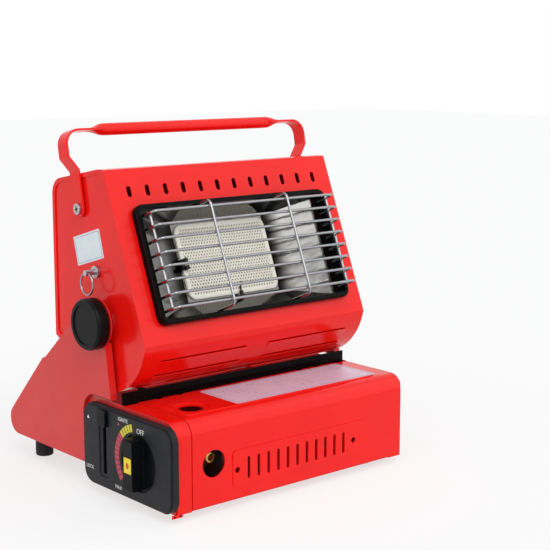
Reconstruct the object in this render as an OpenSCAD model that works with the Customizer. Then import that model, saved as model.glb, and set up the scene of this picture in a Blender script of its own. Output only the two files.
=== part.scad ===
// Portable gas heater: a cartridge box on two side plates, with an infrared head that tilts
// between them. Lengths in millimetres. X runs along the box, Y from its front to the back, Z up.

/* [Front box] */
// Length of the box over its two ends
box_l = 262; // [240:1:300]
// Depth of the box, front face to rear wall
box_d = 78; // [76:1:90]
// Height of the box top above the ground
box_top = 86.8; // [84:0.2:92]
// Height of the underside of the box above the ground
box_floor = 7.4; // [6:0.2:10]
// Radius of the long edge between front and top
box_edge_r = 15; // [8:1:22]
// Thickness of the painted sheet steel
sheet = 1.2; // [0.8:0.1:1.6]
// Width of the fixed end caps on the front face
cap_w = 15; // [10:1:20]
// Gap between the lid and the end caps
lid_gap = 0.4; // [0.3:0.1:1]
// Height of the pressed field on the lid's top
press_h = 1; // [0.6:0.1:1.6]
// Radius of the lid hinge's knuckles
lid_hinge_r = 3.2; // [2.6:0.1:4]
// Radius of the lid's hinge pin
hinge_pin_r = 1.5; // [1:0.1:2]

/* [Lid openings] */
// Number of upright slots in the lid's front
lid_slots = 11; // [7:1:13]
// Distance between two slots of the lid
lid_slot_pitch = 11.15; // [9:0.05:12]
// Width of a slot of the lid
lid_slot_w = 3; // [2:0.1:4]
// Height of a slot of the lid
lid_slot_h = 19.8; // [14:0.2:24]
// Radius of the two round holes beside the slots
lid_dot_r = 2.6; // [2:0.1:4]
// Radius of the hole in front of the gas inlet
inlet_hole_r = 11.9; // [9:0.1:13]
// Radius of the round window in the lid's top
top_hole_r = 10.5; // [6:0.5:12]

/* [Side plates] */
// Outer face of a side plate beyond the end of the box
leg_out = 5; // [4:0.5:8]
// Depth of the side plate from the box front to its rear corner
leg_d = 266; // [256:1:290]
// Height of the side plate's lower edge above the ground
leg_floor = 23.3; // [20:0.1:28]
// Radius of the round top of the side plate
leg_top_r = 22.4; // [20:0.1:23]
// Width of the folded flanges of a side plate
leg_flange = 7; // [4:0.5:7.5]
// Distance of the kink in the back edge behind the box front
kink_y = 197.1; // [180:0.1:205]
// Height of the kink in the back edge above the ground
kink_z = 108.9; // [100:0.1:112]
// Radius of the side plate's rear corner
corner_r = 14; // [10:0.5:18]

/* [Tilting head] */
// Distance of the tilt axis behind the box front
pivot_y = 109; // [106:0.5:118]
// Height of the tilt axis above the ground
pivot_z = 154; // [152:0.5:170]
// Backward lean of the head's face at rest
lean = 22; // [10:1:30]
// Gap between a side plate of the stand and the head
head_gap = 7.2; // [5:0.1:20]
// Distance from the tilt axis to the plane of the face
face_d = 51.4; // [46:0.2:54]
// Height of the face above the tilt axis, along the face
face_top = 122; // [116:1:134]
// Radius of the rounded nose about the tilt axis
nose_r = 62; // [58:0.5:64]
// Distance from the tilt axis to the back wall
back_d = 82.3; // [70:0.1:90]
// Height of the back wall's lower edge relative to the tilt axis
back_low = -24; // [-30:1:-20]
// Fall of the head's top towards the back
top_slope = 10.5; // [5:0.5:15]
// Radius of the corner between top and back
back_r = 16; // [8:1:24]

/* [Window] */
// Width of the face beside the window frame
window_side = 18.1; // [14:0.1:30]
// Height of the window frame
window_h = 107; // [90:0.5:110]
// Height of the window's centre above the tilt axis, along the face
window_z = 34; // [32:0.2:38]
// Radius of the window frame's corners
window_r = 8; // [5:0.5:12]
// Width of the window frame's raised band
bezel_band = 4.5; // [4:0.1:6]
// Distance the window frame stands out of the face
bezel_out = 8; // [5:0.5:10]
// Number of vent slots above the window
vent_n = 12; // [8:1:13]
// Distance of the end vent slots from the head's sides
vent_side = 21.25; // [16:0.05:40]
// Length of a louvre in the nose
louvre_l = 96; // [60:1:98]
// Distance a louvre's hood stands out of the nose
hood_out = 1.6; // [1:0.1:2]

/* [Guard] */
// Radius of the guard's wires
wire_r = 1.25; // [1:0.05:1.6]
// Number of cross wires
wire_n = 8; // [5:1:8]
// Distance between two cross wires
wire_pitch = 12.07; // [9:0.01:12.2]
// Distance of the cross wires in front of the face
wire_out = 25; // [18:0.5:26]
// Distance of the two middle uprights from the middle
upright_x = 44; // [30:1:60]

/* [Burner] */
// Width of the ceramic plaque in view
plaque_w = 104.5; // [90:0.5:112]
// Height of the ceramic plaque in view
plaque_h = 70; // [60:1:76]
// Thickness of the ceramic plaque
plaque_t = 8; // [6:0.5:9]
// Depth of the plaque behind the face
plaque_in = 23.5; // [22:0.5:26]
// Height of the plaque's centre above the tilt axis, along the face
plaque_z = 38; // [38:0.5:42]
// Radius of the mixing tube
tube_r = 8; // [7:0.5:8.5]
// Radius of the gas hose
hose_r = 4; // [3:0.5:4]

/* [Knobs and panel] */
// Radius of the tilt knobs
knob_r = 22.7; // [20:0.1:24]
// Thickness of the tilt knobs
knob_t = 11.8; // [9:0.1:16]
// Radius of the studs that clamp the head
stud_r = 4; // [3:0.5:5]
// Thickness of the control panel
panel_t = 7.7; // [6:0.1:10]
// Depth of the control panel along the box end
panel_d = 132.9; // [122:0.1:136]
// Distance the control panel stands out in front of the box's end
panel_lap = 6; // [0:0.1:7]
// Height of the control panel
panel_h = 73.5; // [68:0.5:74]
// Corner radius of the control panel
panel_r = 13; // [8:1:18]
// Distance of the dial's centre behind the box front
dial_y = 44; // [40:0.5:48]
// Height of the dial's centre above the ground
dial_z = 44; // [42:0.5:48]
// Radius of the dial
dial_r = 24; // [20:0.5:25]
// Distance the dial's grip stands out of the panel
dial_t = 11; // [8:0.5:14]
// Width of the dial's grip
dial_bar = 13.5; // [12.5:0.5:16]
// Radius of the dial's spindle
spindle_r = 3; // [2:0.1:4]
// Distance of the lever's slot behind the box front
lever_y = 96; // [92:0.5:100]
// Travel of the cartridge lever
lever_travel = 45; // [30:1:45]

/* [Handle] */
// Distance of the handle's pivots behind the tilt axis
handle_y = 34.7; // [25:0.1:40]
// Height of the handle's pivots above the tilt axis
handle_z = 96; // [85:0.5:100]
// Distance from the handle's pivots to the grip's centre
handle_h = 68; // [64:0.5:80]
// Backward lean of the handle at rest
handle_lean = 10.8; // [-10:0.1:25]
// Width of the handle's strap
strap_w = 15; // [12:0.5:18]
// Thickness of the handle's strap
strap_t = 2; // [1.5:0.1:3]
// Radius of the rolled grip
grip_r = 5.5; // [4.5:0.1:7]

/* [Lock pin] */
// Radius of the lock pin
lock_r = 2.5; // [2:0.1:3]
// Distance of the lock pin behind the tilt axis
lock_y = 12; // [8:0.5:16]
// Height of the lock pin above the tilt axis
lock_z = 42.6; // [40:0.1:48]
// Distance the lock pin stands out of the head's side
lock_out = 12; // [11:0.5:14]
// Outer radius of the pull ring
ring_r = 10.5; // [9:0.5:11]

/* [Feet] */
// Radius of the rubber feet
foot_r = 8.5; // [7:0.5:10]

/* [Hidden] */
$fn = 64;
eps = 0.01;
run = 0.05;
seat = 0.3;
big = 600;

half = box_l / 2;
leg_x = half + leg_out;
leg_in = leg_x - sheet;
floor_x = half + sheet;
head_x = leg_in - head_gap;
head_in = head_x - 2 * sheet;
window_w = 2 * (head_x - window_side);
vent_span = 2 * (head_x - vent_side);
shell_top = box_top - press_h;
cap_in = half - cap_w;
panel_x = floor_x + panel_t;
dial_x = panel_x + dial_t;
washer_t = 1.2;
knob_x = leg_x + washer_t + knob_t;
field_out = 0.8;
pan_front = 2.2;
mid_x = (knob_x - max(dial_x, knob_x)) / 2;
front_y = max(field_out, panel_lap - pan_front);
mid_y = (leg_d - front_y) / 2;

red = [0.85, 0.07, 0.05];
black = [0.08, 0.08, 0.09];
steel = [0.75, 0.75, 0.76];
dark_steel = [0.3, 0.3, 0.31];
brass = [0.78, 0.62, 0.3];
cream = [0.9, 0.86, 0.76];
yellow = [0.95, 0.8, 0.1];
rubber = [0.05, 0.05, 0.05];

// ---- shared helpers ----

// Puts the working origin (box front, box middle) at the middle of the object's footprint.
module place() {
    translate([-mid_x, -mid_y, 0]) children();
}

// Extrudes a (Y, Z) outline along X from x0 to x1.
module along_x(x0, x1) {
    translate([x0, 0, 0]) rotate([90, 0, 90]) linear_extrude(x1 - x0) children();
}

// A rod along X.
module rod_x(x0, x1, r) {
    translate([x0, 0, 0]) rotate([0, 90, 0]) cylinder(h = x1 - x0, r = r);
}

// A rod along Y.
module rod_y(y0, y1, r) {
    translate([0, y0, 0]) rotate([-90, 0, 0]) cylinder(h = y1 - y0, r = r);
}

// A rectangle from (a0, b0) to (a1, b1) with round corners.
module round_rect(a0, b0, a1, b1, r) {
    translate([a0 + r, b0]) square([a1 - a0 - 2 * r, b1 - b0]);
    translate([a0, b0 + r]) square([a1 - a0, b1 - b0 - 2 * r]);
    for (a = [a0 + r, a1 - r], b = [b0 + r, b1 - r]) translate([a, b]) circle(r = r);
}

// Repeats its children at both ends of the heater, mirrored.
module both_sides() {
    children();
    mirror([1, 0, 0]) children();
}

// The tilt axis's own frame, upright.
module pivot_frame() {
    translate([0, pivot_y, pivot_z]) children();
}

// The head's own frame: origin on the tilt axis, Z up along the face, Y into the head.
module head_frame() {
    pivot_frame() rotate([-lean, 0, 0]) children();
}

// Turns a point of the head's frame upright about the tilt axis.
function lean_pt(a, b) = [a * cos(lean) + b * sin(lean), -a * sin(lean) + b * cos(lean)];

// Point at which a line from p touches the circle (c, r), on the side given by s.
function tangent_pt(p, c, r, s) =
    let (v = p - c, a = atan2(v[1], v[0]) + s * acos(r / norm(v)))
    c + r * [cos(a), sin(a)];

// ---- front box ----

// Outline of the box with its round front edge, set in by a distance.
module box_outline(inset, top, floor_z) {
    edge = box_edge_r - inset;
    translate([inset, floor_z]) square([box_d - 2 * inset, top - inset - edge - floor_z]);
    translate([inset + edge, floor_z]) square([box_d - 2 * inset - edge, top - inset - floor_z]);
    translate([inset + edge, top - inset - edge]) circle(r = edge);
}

pan_lip = 18;
pan_top = box_floor + sheet;
wall_top = shell_top - 2 * lid_hinge_r - 1.5;
screw_r = 1.8;
screw_hole_r = screw_r + 0.2;
front_foot_x = half - 26;
front_foot_y = 26;

module base_pan() {
    color(red) place() difference() {
        along_x(-half + sheet, half - sheet) {
            translate([pan_front, box_floor]) square([box_d - pan_front, sheet]);
            translate([pan_front, box_floor]) square([sheet, pan_lip - box_floor]);
            translate([box_d - sheet, box_floor]) square([sheet, wall_top - box_floor]);
        }
        translate([hose_x, 0, hose_z]) rod_y(box_d - 2 * sheet, box_d + sheet, hose_r + 1);
        for (s = [-1, 1]) translate([s * front_foot_x, front_foot_y, box_floor - sheet])
            cylinder(h = 3 * sheet, r = screw_hole_r);
    }
}

cap_inset = 0.6;

// The fixed end of the box: end wall, front strip and top strip, with the panel's screw holes.
module end_cap_shape() {
    difference() {
        union() {
            along_x(-half, -half + sheet) box_outline(cap_inset, shell_top, box_floor);
            along_x(-half, -cap_in) difference() {
                box_outline(cap_inset, shell_top, box_floor);
                box_outline(cap_inset + sheet, shell_top, box_floor - 1);
                translate([box_d - 12, -1]) square([20, shell_top - sheet - 1]);
            }
        }
        panel_screw_holes();
    }
}

module left_end_cap() {
    color(red) place() difference() {
        end_cap_shape();
        translate([0, dial_y, dial_z]) rod_x(-half - 1, -half + sheet + 1, spindle_r + 1);
    }
}

module right_end_cap() {
    color(red) place() mirror([1, 0, 0]) end_cap_shape();
}

field_side = 8;
field_back = 7;
field_r = 4;
lid_x = half - cap_w - lid_gap;
lid_floor = box_floor + 1.6;
slot_z = 34.3;
slot_x0 = -55.75;
dot_gap = 12.5;
field_x0 = -half + 58;
field_x1 = half - 48.7;
field_z0 = 19.5;
field_z1 = 51.8;
nipple_r = 6;
nipple_x = -half + 42;
nipple_z = 47;
nipple_tip = 10;
inlet_x = nipple_x - 4.1;
inlet_z = nipple_z - 2.1;
top_hole_x = -half + 39;
top_hole_y = 33;
top_press = 16;
hinge_y = box_d - lid_hinge_r + 0.6;
hinge_z = shell_top - lid_hinge_r;
knuckle_x = half - 49;
knuckle_l = 16;
leaf_l = 2.5 * lid_hinge_r;
lug_l = 6;
lug_x = knuckle_l / 2 + seat + lug_l / 2;
lug_d = box_d + sheet - hinge_y;

// Cuts a shape drawn in (X, Z) through the lid's front.
module front_cut(x, z) {
    translate([x, 5, z]) rotate([90, 0, 0]) linear_extrude(10) children();
}

module lid_skin() {
    along_x(-lid_x, lid_x) difference() {
        box_outline(0, shell_top, lid_floor);
        box_outline(sheet, shell_top, lid_floor - 1);
        translate([box_d - 6, 0]) square([20, shell_top - sheet - eps]);
    }
    translate([0, 0, shell_top - sheet / 2]) linear_extrude(press_h + sheet / 2)
        round_rect(-lid_x + field_side, box_edge_r - 1, lid_x - field_side, box_d - field_back,
            field_r);
    translate([0, sheet / 2, 0]) rotate([90, 0, 0]) linear_extrude(sheet / 2 + field_out)
        round_rect(field_x0, field_z0, field_x1, field_z1, field_r);
}

module lid_knuckles() {
    for (s = [-1, 1]) {
        translate([s * knuckle_x, hinge_y, hinge_z])
            rod_x(-knuckle_l / 2, knuckle_l / 2, lid_hinge_r);
        translate([s * knuckle_x - knuckle_l / 2, hinge_y - leaf_l, shell_top - sheet])
            cube([knuckle_l, leaf_l, sheet]);
    }
}

module fuel_lid() {
    color(red) place() difference() {
        union() {
            lid_skin();
            lid_knuckles();
        }
        for (i = [0 : lid_slots - 1]) front_cut(slot_x0 + i * lid_slot_pitch, slot_z)
            round_rect(-lid_slot_w / 2, -lid_slot_h / 2, lid_slot_w / 2, lid_slot_h / 2,
                lid_slot_w / 2 - eps);
        for (x = [slot_x0 - dot_gap, slot_x0 + (lid_slots - 1) * lid_slot_pitch + dot_gap])
            front_cut(x, slot_z) circle(r = lid_dot_r);
        front_cut(inlet_x, inlet_z) circle(r = inlet_hole_r);
        translate([top_hole_x, top_hole_y, shell_top - 3]) cylinder(h = 8, r = top_hole_r);
        translate([top_hole_x, top_hole_y, shell_top]) cylinder(h = 8, r = top_press);
        translate([0, hinge_y, hinge_z]) rod_x(-lid_x, lid_x, hinge_pin_r + run);
        for (s = [-1, 1], e = [-1, 1])
            translate([s * knuckle_x + e * lug_x - lug_l / 2 - seat, hinge_y - lid_hinge_r - 1,
                    hinge_z - lid_hinge_r - 1])
                cube([lug_l + 2 * seat, 2 * lid_hinge_r + 4, 2 * lid_hinge_r + press_h + 3]);
    }
}

leaf_h = 13.8;

// Base half of the two lid hinges: a leaf on the rear wall with a lug each side of the knuckle.
module hinge_brackets() {
    leaf_top = hinge_z - lid_hinge_r - 1;
    color(red) place() for (s = [-1, 1]) translate([s * knuckle_x, 0, 0]) difference() {
        union() {
            translate([-lug_x - lug_l / 2, box_d, leaf_top - leaf_h])
                cube([2 * lug_x + lug_l, sheet, leaf_h]);
            for (e = [-1, 1]) {
                translate([e * lug_x, hinge_y, hinge_z]) rod_x(-lug_l / 2, lug_l / 2, lid_hinge_r);
                translate([e * lug_x - lug_l / 2, box_d, leaf_top - leaf_h])
                    cube([lug_l, sheet, leaf_h + lid_hinge_r + 1]);
                translate([e * lug_x - lug_l / 2, hinge_y, leaf_top])
                    cube([lug_l, lug_d, lid_hinge_r + 1]);
            }
        }
        translate([0, hinge_y, hinge_z]) rod_x(-half, half, hinge_pin_r + run);
    }
}

module hinge_pin() {
    l = lug_x + lug_l / 2;
    color(steel) place() for (s = [-1, 1]) translate([s * knuckle_x, hinge_y, hinge_z])
        rod_x(-l, l, hinge_pin_r);
}

shield_gap = 0.8;
shield_up = 9;
shield_down = 30;
shield_side = 0.5;

// Dark strip behind the lid that keeps the head's heat from the cartridge.
module heat_shield() {
    y = box_d + sheet + shield_gap;
    color(black) place() along_x(-half + shield_side, half - shield_side) {
        translate([y, box_top - shield_down]) square([sheet, shield_down + shield_up]);
        translate([box_d, box_top - shield_down]) square([y + sheet - box_d, sheet]);
    }
}

// ---- side plates ----

recess_back = panel_d - panel_lap + 7;
recess_top = box_top + 2;
recess_r = 18;
neck_top = [pivot_y - 11.7, pivot_z - 16.5];
neck_low = [pivot_y - 19, box_top + 3];
kink = [kink_y, kink_z];
kink_out = kink + [5.8, -2.4];
rear_c = [leg_d - corner_r, leg_floor + corner_r];
ear_touch = tangent_pt(kink, [pivot_y, pivot_z], leg_top_r, 1);
rear_touch = tangent_pt(kink_out, rear_c, corner_r, -1);
leg_low_y = leg_d - 38;

// Everything a side plate covers, seen from the side.
module leg_profile() {
    translate([pivot_y, pivot_z]) circle(r = leg_top_r);
    polygon([
        neck_top, [pivot_y, pivot_z], ear_touch, kink, kink_out, rear_touch, rear_c,
        [rear_c[0], leg_floor], [recess_back, leg_floor], [recess_back, neck_low[1] - 20],
        [neck_low[0] - 10, neck_low[1] - 20], [neck_low[0] - 10, shell_top], neck_low
    ]);
    translate(rear_c) circle(r = corner_r);
    box_end_profile();
}

// The end of the box and the sheet behind it, over which the control panel lies.
module box_end_profile() {
    intersection() {
        box_outline(cap_inset, shell_top, box_floor);
        translate([pan_front, 0]) square([big, big]);
    }
    translate([box_d - 1, box_floor]) square([recess_back - box_d + 1, shell_top - box_floor]);
}

// The area of the side plate that is pressed in to lie on the box's end.
module recess_outline(grow) {
    difference() {
        round_rect(-box_d, -box_d, recess_back + grow, recess_top + grow, recess_r + grow);
        translate([-2 * box_d, -2 * box_d]) square([2 * box_d + pan_front, 4 * box_d]);
    }
}

// A strip of sheet folded inward, below the line from p to q.
module fold(p, q) {
    d = (q - p) / norm(q - p);
    n = [d[1], -d[0]] * sheet;
    along_x(-leg_x, -leg_x + leg_flange) polygon([p, q, q + n, p + n]);
}

module leg_shape() {
    difference() {
        union() {
            along_x(-leg_x, -leg_in) difference() {
                leg_profile();
                recess_outline(0);
            }
            along_x(-leg_x, -half) intersection() {
                leg_profile();
                difference() {
                    recess_outline(sheet);
                    recess_outline(0);
                }
            }
            along_x(-floor_x, -half) intersection() {
                box_end_profile();
                recess_outline(sheet);
            }
            fold(neck_low, neck_top);
            fold(kink_out, rear_touch);
            fold([leg_low_y, leg_floor], [recess_back + sheet, leg_floor]);
        }
        pivot_frame() rod_x(-leg_x - 1, -leg_in + 1, stud_r + 1.5);
        panel_screw_holes();
    }
}

module left_leg() {
    color(red) place() difference() {
        leg_shape();
        translate([0, dial_y, dial_z]) rod_x(-floor_x - 1, -half + 1, spindle_r + 1);
        lever_slot(-floor_x - 1, -half + 1);
    }
}

module right_leg() {
    color(red) place() mirror([1, 0, 0]) leg_shape();
}

brace_d = 22;
brace_h = 36;
brace_lip = 16;
brace_y = leg_d - 34;
rear_foot_x = half - 18;
rear_foot_y = brace_y + brace_d / 2;

// Channel between the side plates that carries the rear feet.
module rear_brace() {
    color(red) place() difference() {
        along_x(-leg_in, leg_in) {
            translate([brace_y, leg_floor]) square([brace_d, sheet]);
            translate([brace_y, leg_floor]) square([sheet, brace_h]);
            translate([brace_y + brace_d - sheet, leg_floor]) square([sheet, brace_lip]);
        }
        for (s = [-1, 1]) translate([s * rear_foot_x, rear_foot_y, leg_floor - sheet])
            cylinder(h = 3 * sheet, r = screw_hole_r);
    }
}

foot_bevel = 1.2;
foot_hole = 5;

// A rubber foot with a blind hole for its screw, from the ground up to a height.
module foot(h) {
    difference() {
        union() {
            cylinder(h = foot_bevel, r1 = foot_r - 1, r2 = foot_r);
            translate([0, 0, foot_bevel]) cylinder(h = h - foot_bevel, r = foot_r);
        }
        translate([0, 0, h - foot_hole]) cylinder(h = foot_hole + 1, r = screw_r);
    }
}

module rear_feet() {
    color(rubber) place() for (s = [-1, 1])
        translate([s * rear_foot_x, rear_foot_y, 0]) foot(leg_floor);
}

module front_feet() {
    color(rubber) place() for (s = [-1, 1])
        translate([s * front_foot_x, front_foot_y, 0]) foot(box_floor);
}

// A pan-head screw that points down, its head on the sheet at the origin.
module foot_screw() {
    l = sheet + foot_hole - 0.2;
    cylinder(h = 1.8, r = 3.4);
    translate([0, 0, -l]) cylinder(h = l, r = screw_r);
}

module foot_screws() {
    color(steel) place() for (s = [-1, 1]) {
        translate([s * rear_foot_x, rear_foot_y, leg_floor + sheet]) foot_screw();
        translate([s * front_foot_x, front_foot_y, pan_top]) foot_screw();
    }
}

// ---- control panel ----

panel_y0 = pan_front - panel_lap;
panel_z0 = box_floor + 1.3;
panel_wall = 2.2;
post_end = panel_wall + 1;
panel_edge = 1.6;

// Outline of the control panel, set in by a distance.
module panel_outline(inset) {
    round_rect(panel_y0 + inset, panel_z0 + inset, panel_y0 + panel_d - inset,
        panel_z0 + panel_h - inset, panel_r - inset);
}

channel_w = 15;
channel_t = 0.9;
channel_r = 3;
lever_w = 5;
lever_h = 15;
lever_pad = 6.2;
lever_stem_h = 9;
lever_z = panel_z0 + panel_h - 9.7;
slot_low = lever_z - lever_travel - lever_stem_h / 2 - 1;
slot_high = lever_z + lever_stem_h / 2 + 0.5;

// Slot in which the cartridge lever slides.
module lever_slot(x0, x1) {
    along_x(x0, x1)
        round_rect(lever_y - lever_w / 2, slot_low, lever_y + lever_w / 2, slot_high, 1);
}

dial_gap = 1;
dial_sink = 3.4;
dial_wall = 1.8;

module control_panel() {
    color(black) place() {
        difference() {
            union() {
                along_x(-panel_x + panel_edge, -floor_x) panel_outline(0);
                along_x(-panel_x, -panel_x + panel_edge + eps) panel_outline(panel_edge);
            }
            difference() {
                along_x(-panel_x + panel_wall + 0.2, -floor_x + 1) panel_outline(panel_wall);
                translate([0, dial_y, dial_z]) rod_x(-panel_x, -panel_x + dial_sink + dial_wall,
                    dial_r + dial_gap + dial_wall);
            }
            translate([0, dial_y, dial_z]) {
                rod_x(-panel_x - 1, -panel_x + dial_sink, dial_r + dial_gap);
                rod_x(-panel_x - 1, -floor_x + 1, spindle_r + 1);
            }
            lever_slot(-panel_x - 1, -floor_x + 1);
            along_x(-panel_x - 1, -panel_x + channel_t) round_rect(lever_y - channel_w / 2,
                slot_low - 3, lever_y + channel_w / 2, slot_high + lever_h / 2, channel_r);
        }
        for (p = posts) translate([0, p[0], p[1]]) difference() {
            rod_x(-panel_x + panel_wall, -floor_x, 2 * screw_r);
            rod_x(-panel_x + post_end, -floor_x + 1, screw_r);
        }
    }
}

// Where the panel's screw posts stand; the last two lie behind the box.
post_front = pan_front + 9;
posts = [
    [post_front, panel_z0 + 9], [post_front, panel_z0 + panel_h - 9],
    [panel_y0 + panel_d - 12, panel_z0 + 9], [panel_y0 + panel_d - 12, panel_z0 + panel_h - 12]
];

module panel_screw_holes() {
    for (p = posts) translate([0, p[0], p[1]])
        rod_x(-floor_x - 1, -half + sheet + 1, screw_hole_r);
}

module panel_screws() {
    color(steel) place() for (p = posts) {
        seat_x = p[0] < box_d ? -half + sheet : -half;
        translate([0, p[0], p[1]]) {
            rod_x(-panel_x + post_end + 0.2, seat_x + eps, screw_r - run);
            rod_x(seat_x, seat_x + 1.8, 3.2);
        }
    }
}

lever_out = 3;

module cartridge_lever() {
    w = lever_w / 2 - seat;
    h = lever_stem_h / 2;
    color(black) place() translate([0, lever_y, lever_z]) {
        along_x(-panel_x - lever_out + 1, -half + 2) round_rect(-w, -h, w, h, 1);
        along_x(-panel_x - lever_out, -panel_x + channel_t - seat)
            round_rect(-lever_pad, -lever_h / 2, lever_pad, lever_h / 2, 2);
        along_x(-half + seat, -half + 2) round_rect(-w - 4.8, -h - 2, w + 4.8, h + 2, 1);
    }
}

dial_edge = 1.2;
pocket = 0.6;
pocket_l = 10.5;
pocket_h = 13.5;
spindle_out = 6;
spindle_in = 16;

module dial_knob() {
    color(black) place() translate([0, dial_y, dial_z]) difference() {
        union() {
            rod_x(-panel_x + 1, -panel_x + dial_sink - seat, dial_r);
            intersection() {
                union() {
                    rod_x(-dial_x + dial_edge, -panel_x + 1 + eps, dial_r - 1);
                    rod_x(-dial_x, -dial_x + dial_edge + eps, dial_r - 1 - dial_edge);
                }
                translate([-dial_x - 1, -dial_bar / 2, -dial_r])
                    cube([dial_t + 4, dial_bar, 2 * dial_r]);
            }
        }
        rod_x(-panel_x - spindle_out, -panel_x + dial_sink, spindle_r);
        translate([-dial_x - 1, -pocket_l / 2, -pocket_h / 2]) cube([1 + pocket, pocket_l, pocket_h]);
    }
}

// Inlay in the middle of the dial's grip.
module dial_pointer() {
    color(yellow) place()
        translate([-dial_x, dial_y - pocket_l / 2 + run, dial_z - pocket_h / 2 + run])
            cube([pocket, pocket_l - 2 * run, pocket_h - 2 * run]);
}

module valve_spindle() {
    color(brass) place() translate([0, dial_y, dial_z])
        rod_x(-panel_x - spindle_out, -half + spindle_in, spindle_r);
}

// ---- gas parts in the box ----

can_r = 33;
can_y = box_d / 2 + 1;
can_z = pan_top + 1.6 + can_r;
reg_x0 = -half + 6;
reg_l = 46;
reg_x1 = reg_x0 + reg_l;
reg_y0 = 30;
reg_y1 = 60;
reg_z0 = 30;
reg_z1 = 58;
boss_l = 6;
boss_r = 12;
bush_boss_r = 9;
reg_foot = [8, 6, 24, 18];

module regulator_body() {
    color(dark_steel) place() difference() {
        union() {
            translate([reg_x0, reg_y0, reg_z0]) cube([reg_l, reg_y1 - reg_y0, reg_z1 - reg_z0]);
            translate([0, dial_y, dial_z]) rod_x(-half + sheet, reg_x0 + 1, bush_boss_r);
            translate([0, can_y, can_z]) rod_x(reg_x1 - 1, reg_x1 + boss_l, boss_r);
            translate([reg_x0 + reg_foot[0], reg_y0 + reg_foot[1], pan_top])
                cube([reg_foot[2], reg_foot[3], reg_z0 - pan_top + 1]);
        }
        translate([0, dial_y, dial_z]) rod_x(-half - 1, -half + spindle_in, spindle_r + run);
    }
}

nipple_l = 10.5;
nipple_bevel = 1.5;
nipple_bore = 14;

module gas_inlet_nipple() {
    color(brass) place() translate([nipple_x, nipple_tip, nipple_z]) rotate([-90, 0, 0])
        difference() {
            union() {
                cylinder(h = nipple_bevel, r1 = nipple_r - nipple_bevel, r2 = nipple_r);
                translate([0, 0, nipple_bevel])
                    cylinder(h = nipple_l - nipple_bevel, r = nipple_r);
                translate([0, 0, nipple_l])
                    cylinder(h = reg_y0 - nipple_tip - nipple_l, r = nipple_r + 2, $fn = 6);
            }
            translate([0, 0, -1]) cylinder(h = nipple_bore + 1, r = nipple_r / 2);
        }
}

collar_r = 0.76 * can_r;
collar_t = 0.18 * can_r;
collar_wall = 0.12 * can_r;
collar_bore = 0.25 * can_r;
key_w = 0.25 * can_r;

// Dished collar that takes the cartridge's rim, with the notch that keys it.
module cartridge_collar() {
    x = reg_x1 + boss_l;
    color(steel) place() translate([x, can_y, can_z]) difference() {
        rod_x(0, collar_t, collar_r);
        rod_x(collar_t / 3, collar_t + 1, collar_r - collar_wall);
        rod_x(-1, collar_t + 1, collar_bore);
        translate([collar_t / 6, -key_w / 2, collar_r / 2]) cube([collar_t, key_w, collar_r]);
    }
}

cradle_x = 69;
cradle_end = 41;
cradle_t = 8;
cradle_w = 48;
cradle_h = 12;
cradle_gap = 0.5;

// Two saddles on the tray in which the cartridge lies.
module cartridge_cradle() {
    color(steel) place() for (x = [reg_x1 + cradle_x, half - cradle_end]) difference() {
        translate([x, can_y - cradle_w / 2, pan_top]) cube([cradle_t, cradle_w, cradle_h]);
        translate([0, can_y, can_z]) rod_x(x - 1, x + cradle_t + 1, can_r + cradle_gap);
    }
}

piezo_l = 26;
piezo_w = 14;
piezo_h = 12;
piezo_rod_r = 4;
piezo_rod_l = 8;

module piezo_igniter() {
    color(black) place() translate([reg_x0 + 2, reg_y0 + 1, reg_z1]) {
        cube([piezo_l, piezo_w, piezo_h]);
        translate([0, piezo_w / 2, piezo_h / 2])
            rod_x(piezo_l - 1, piezo_l + piezo_rod_l, piezo_rod_r);
    }
}

hose_side = 41;
hose_x = -half + hose_side;
hose_z = 50;
hose_bend = 14;
hose_end = -34;

// Quarter bend of the hose in the XY plane, from the +X axis to the +Y axis.
module hose_quarter() {
    rotate_extrude(angle = 90) translate([hose_bend, 0]) circle(r = hose_r);
}

// Rubber hose: out of the box's rear wall, up to the tilt axis, then along it to the jet.
module gas_hose() {
    low = hose_z + hose_bend;
    high = pivot_z - hose_bend;
    color(rubber) place() {
        translate([hose_x, 0, hose_z]) rod_y(reg_y1, pivot_y - hose_bend, hose_r);
        translate([hose_x, pivot_y - hose_bend, low]) rotate([0, 90, 0]) hose_quarter();
        translate([hose_x, pivot_y, low]) cylinder(h = high - low, r = hose_r);
        translate([hose_x + hose_bend, pivot_y, high]) rotate([90, 0, 180]) hose_quarter();
        translate([0, pivot_y, pivot_z]) rod_x(hose_x + hose_bend, hose_end, hose_r);
    }
}

// ---- tilting head ----

top_flat = 9;
top_z = lean_pt(-face_d, face_top)[1];
slope_y = lean_pt(-face_d, face_top)[0] + top_flat;
nose_back = 24;
nose_end = 27.5;

// Height of the sloping top at a distance behind the tilt axis, set in by a distance.
function slope_z(y, inset) = top_z - inset / cos(top_slope) - (y - slope_y) * tan(top_slope);

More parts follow.
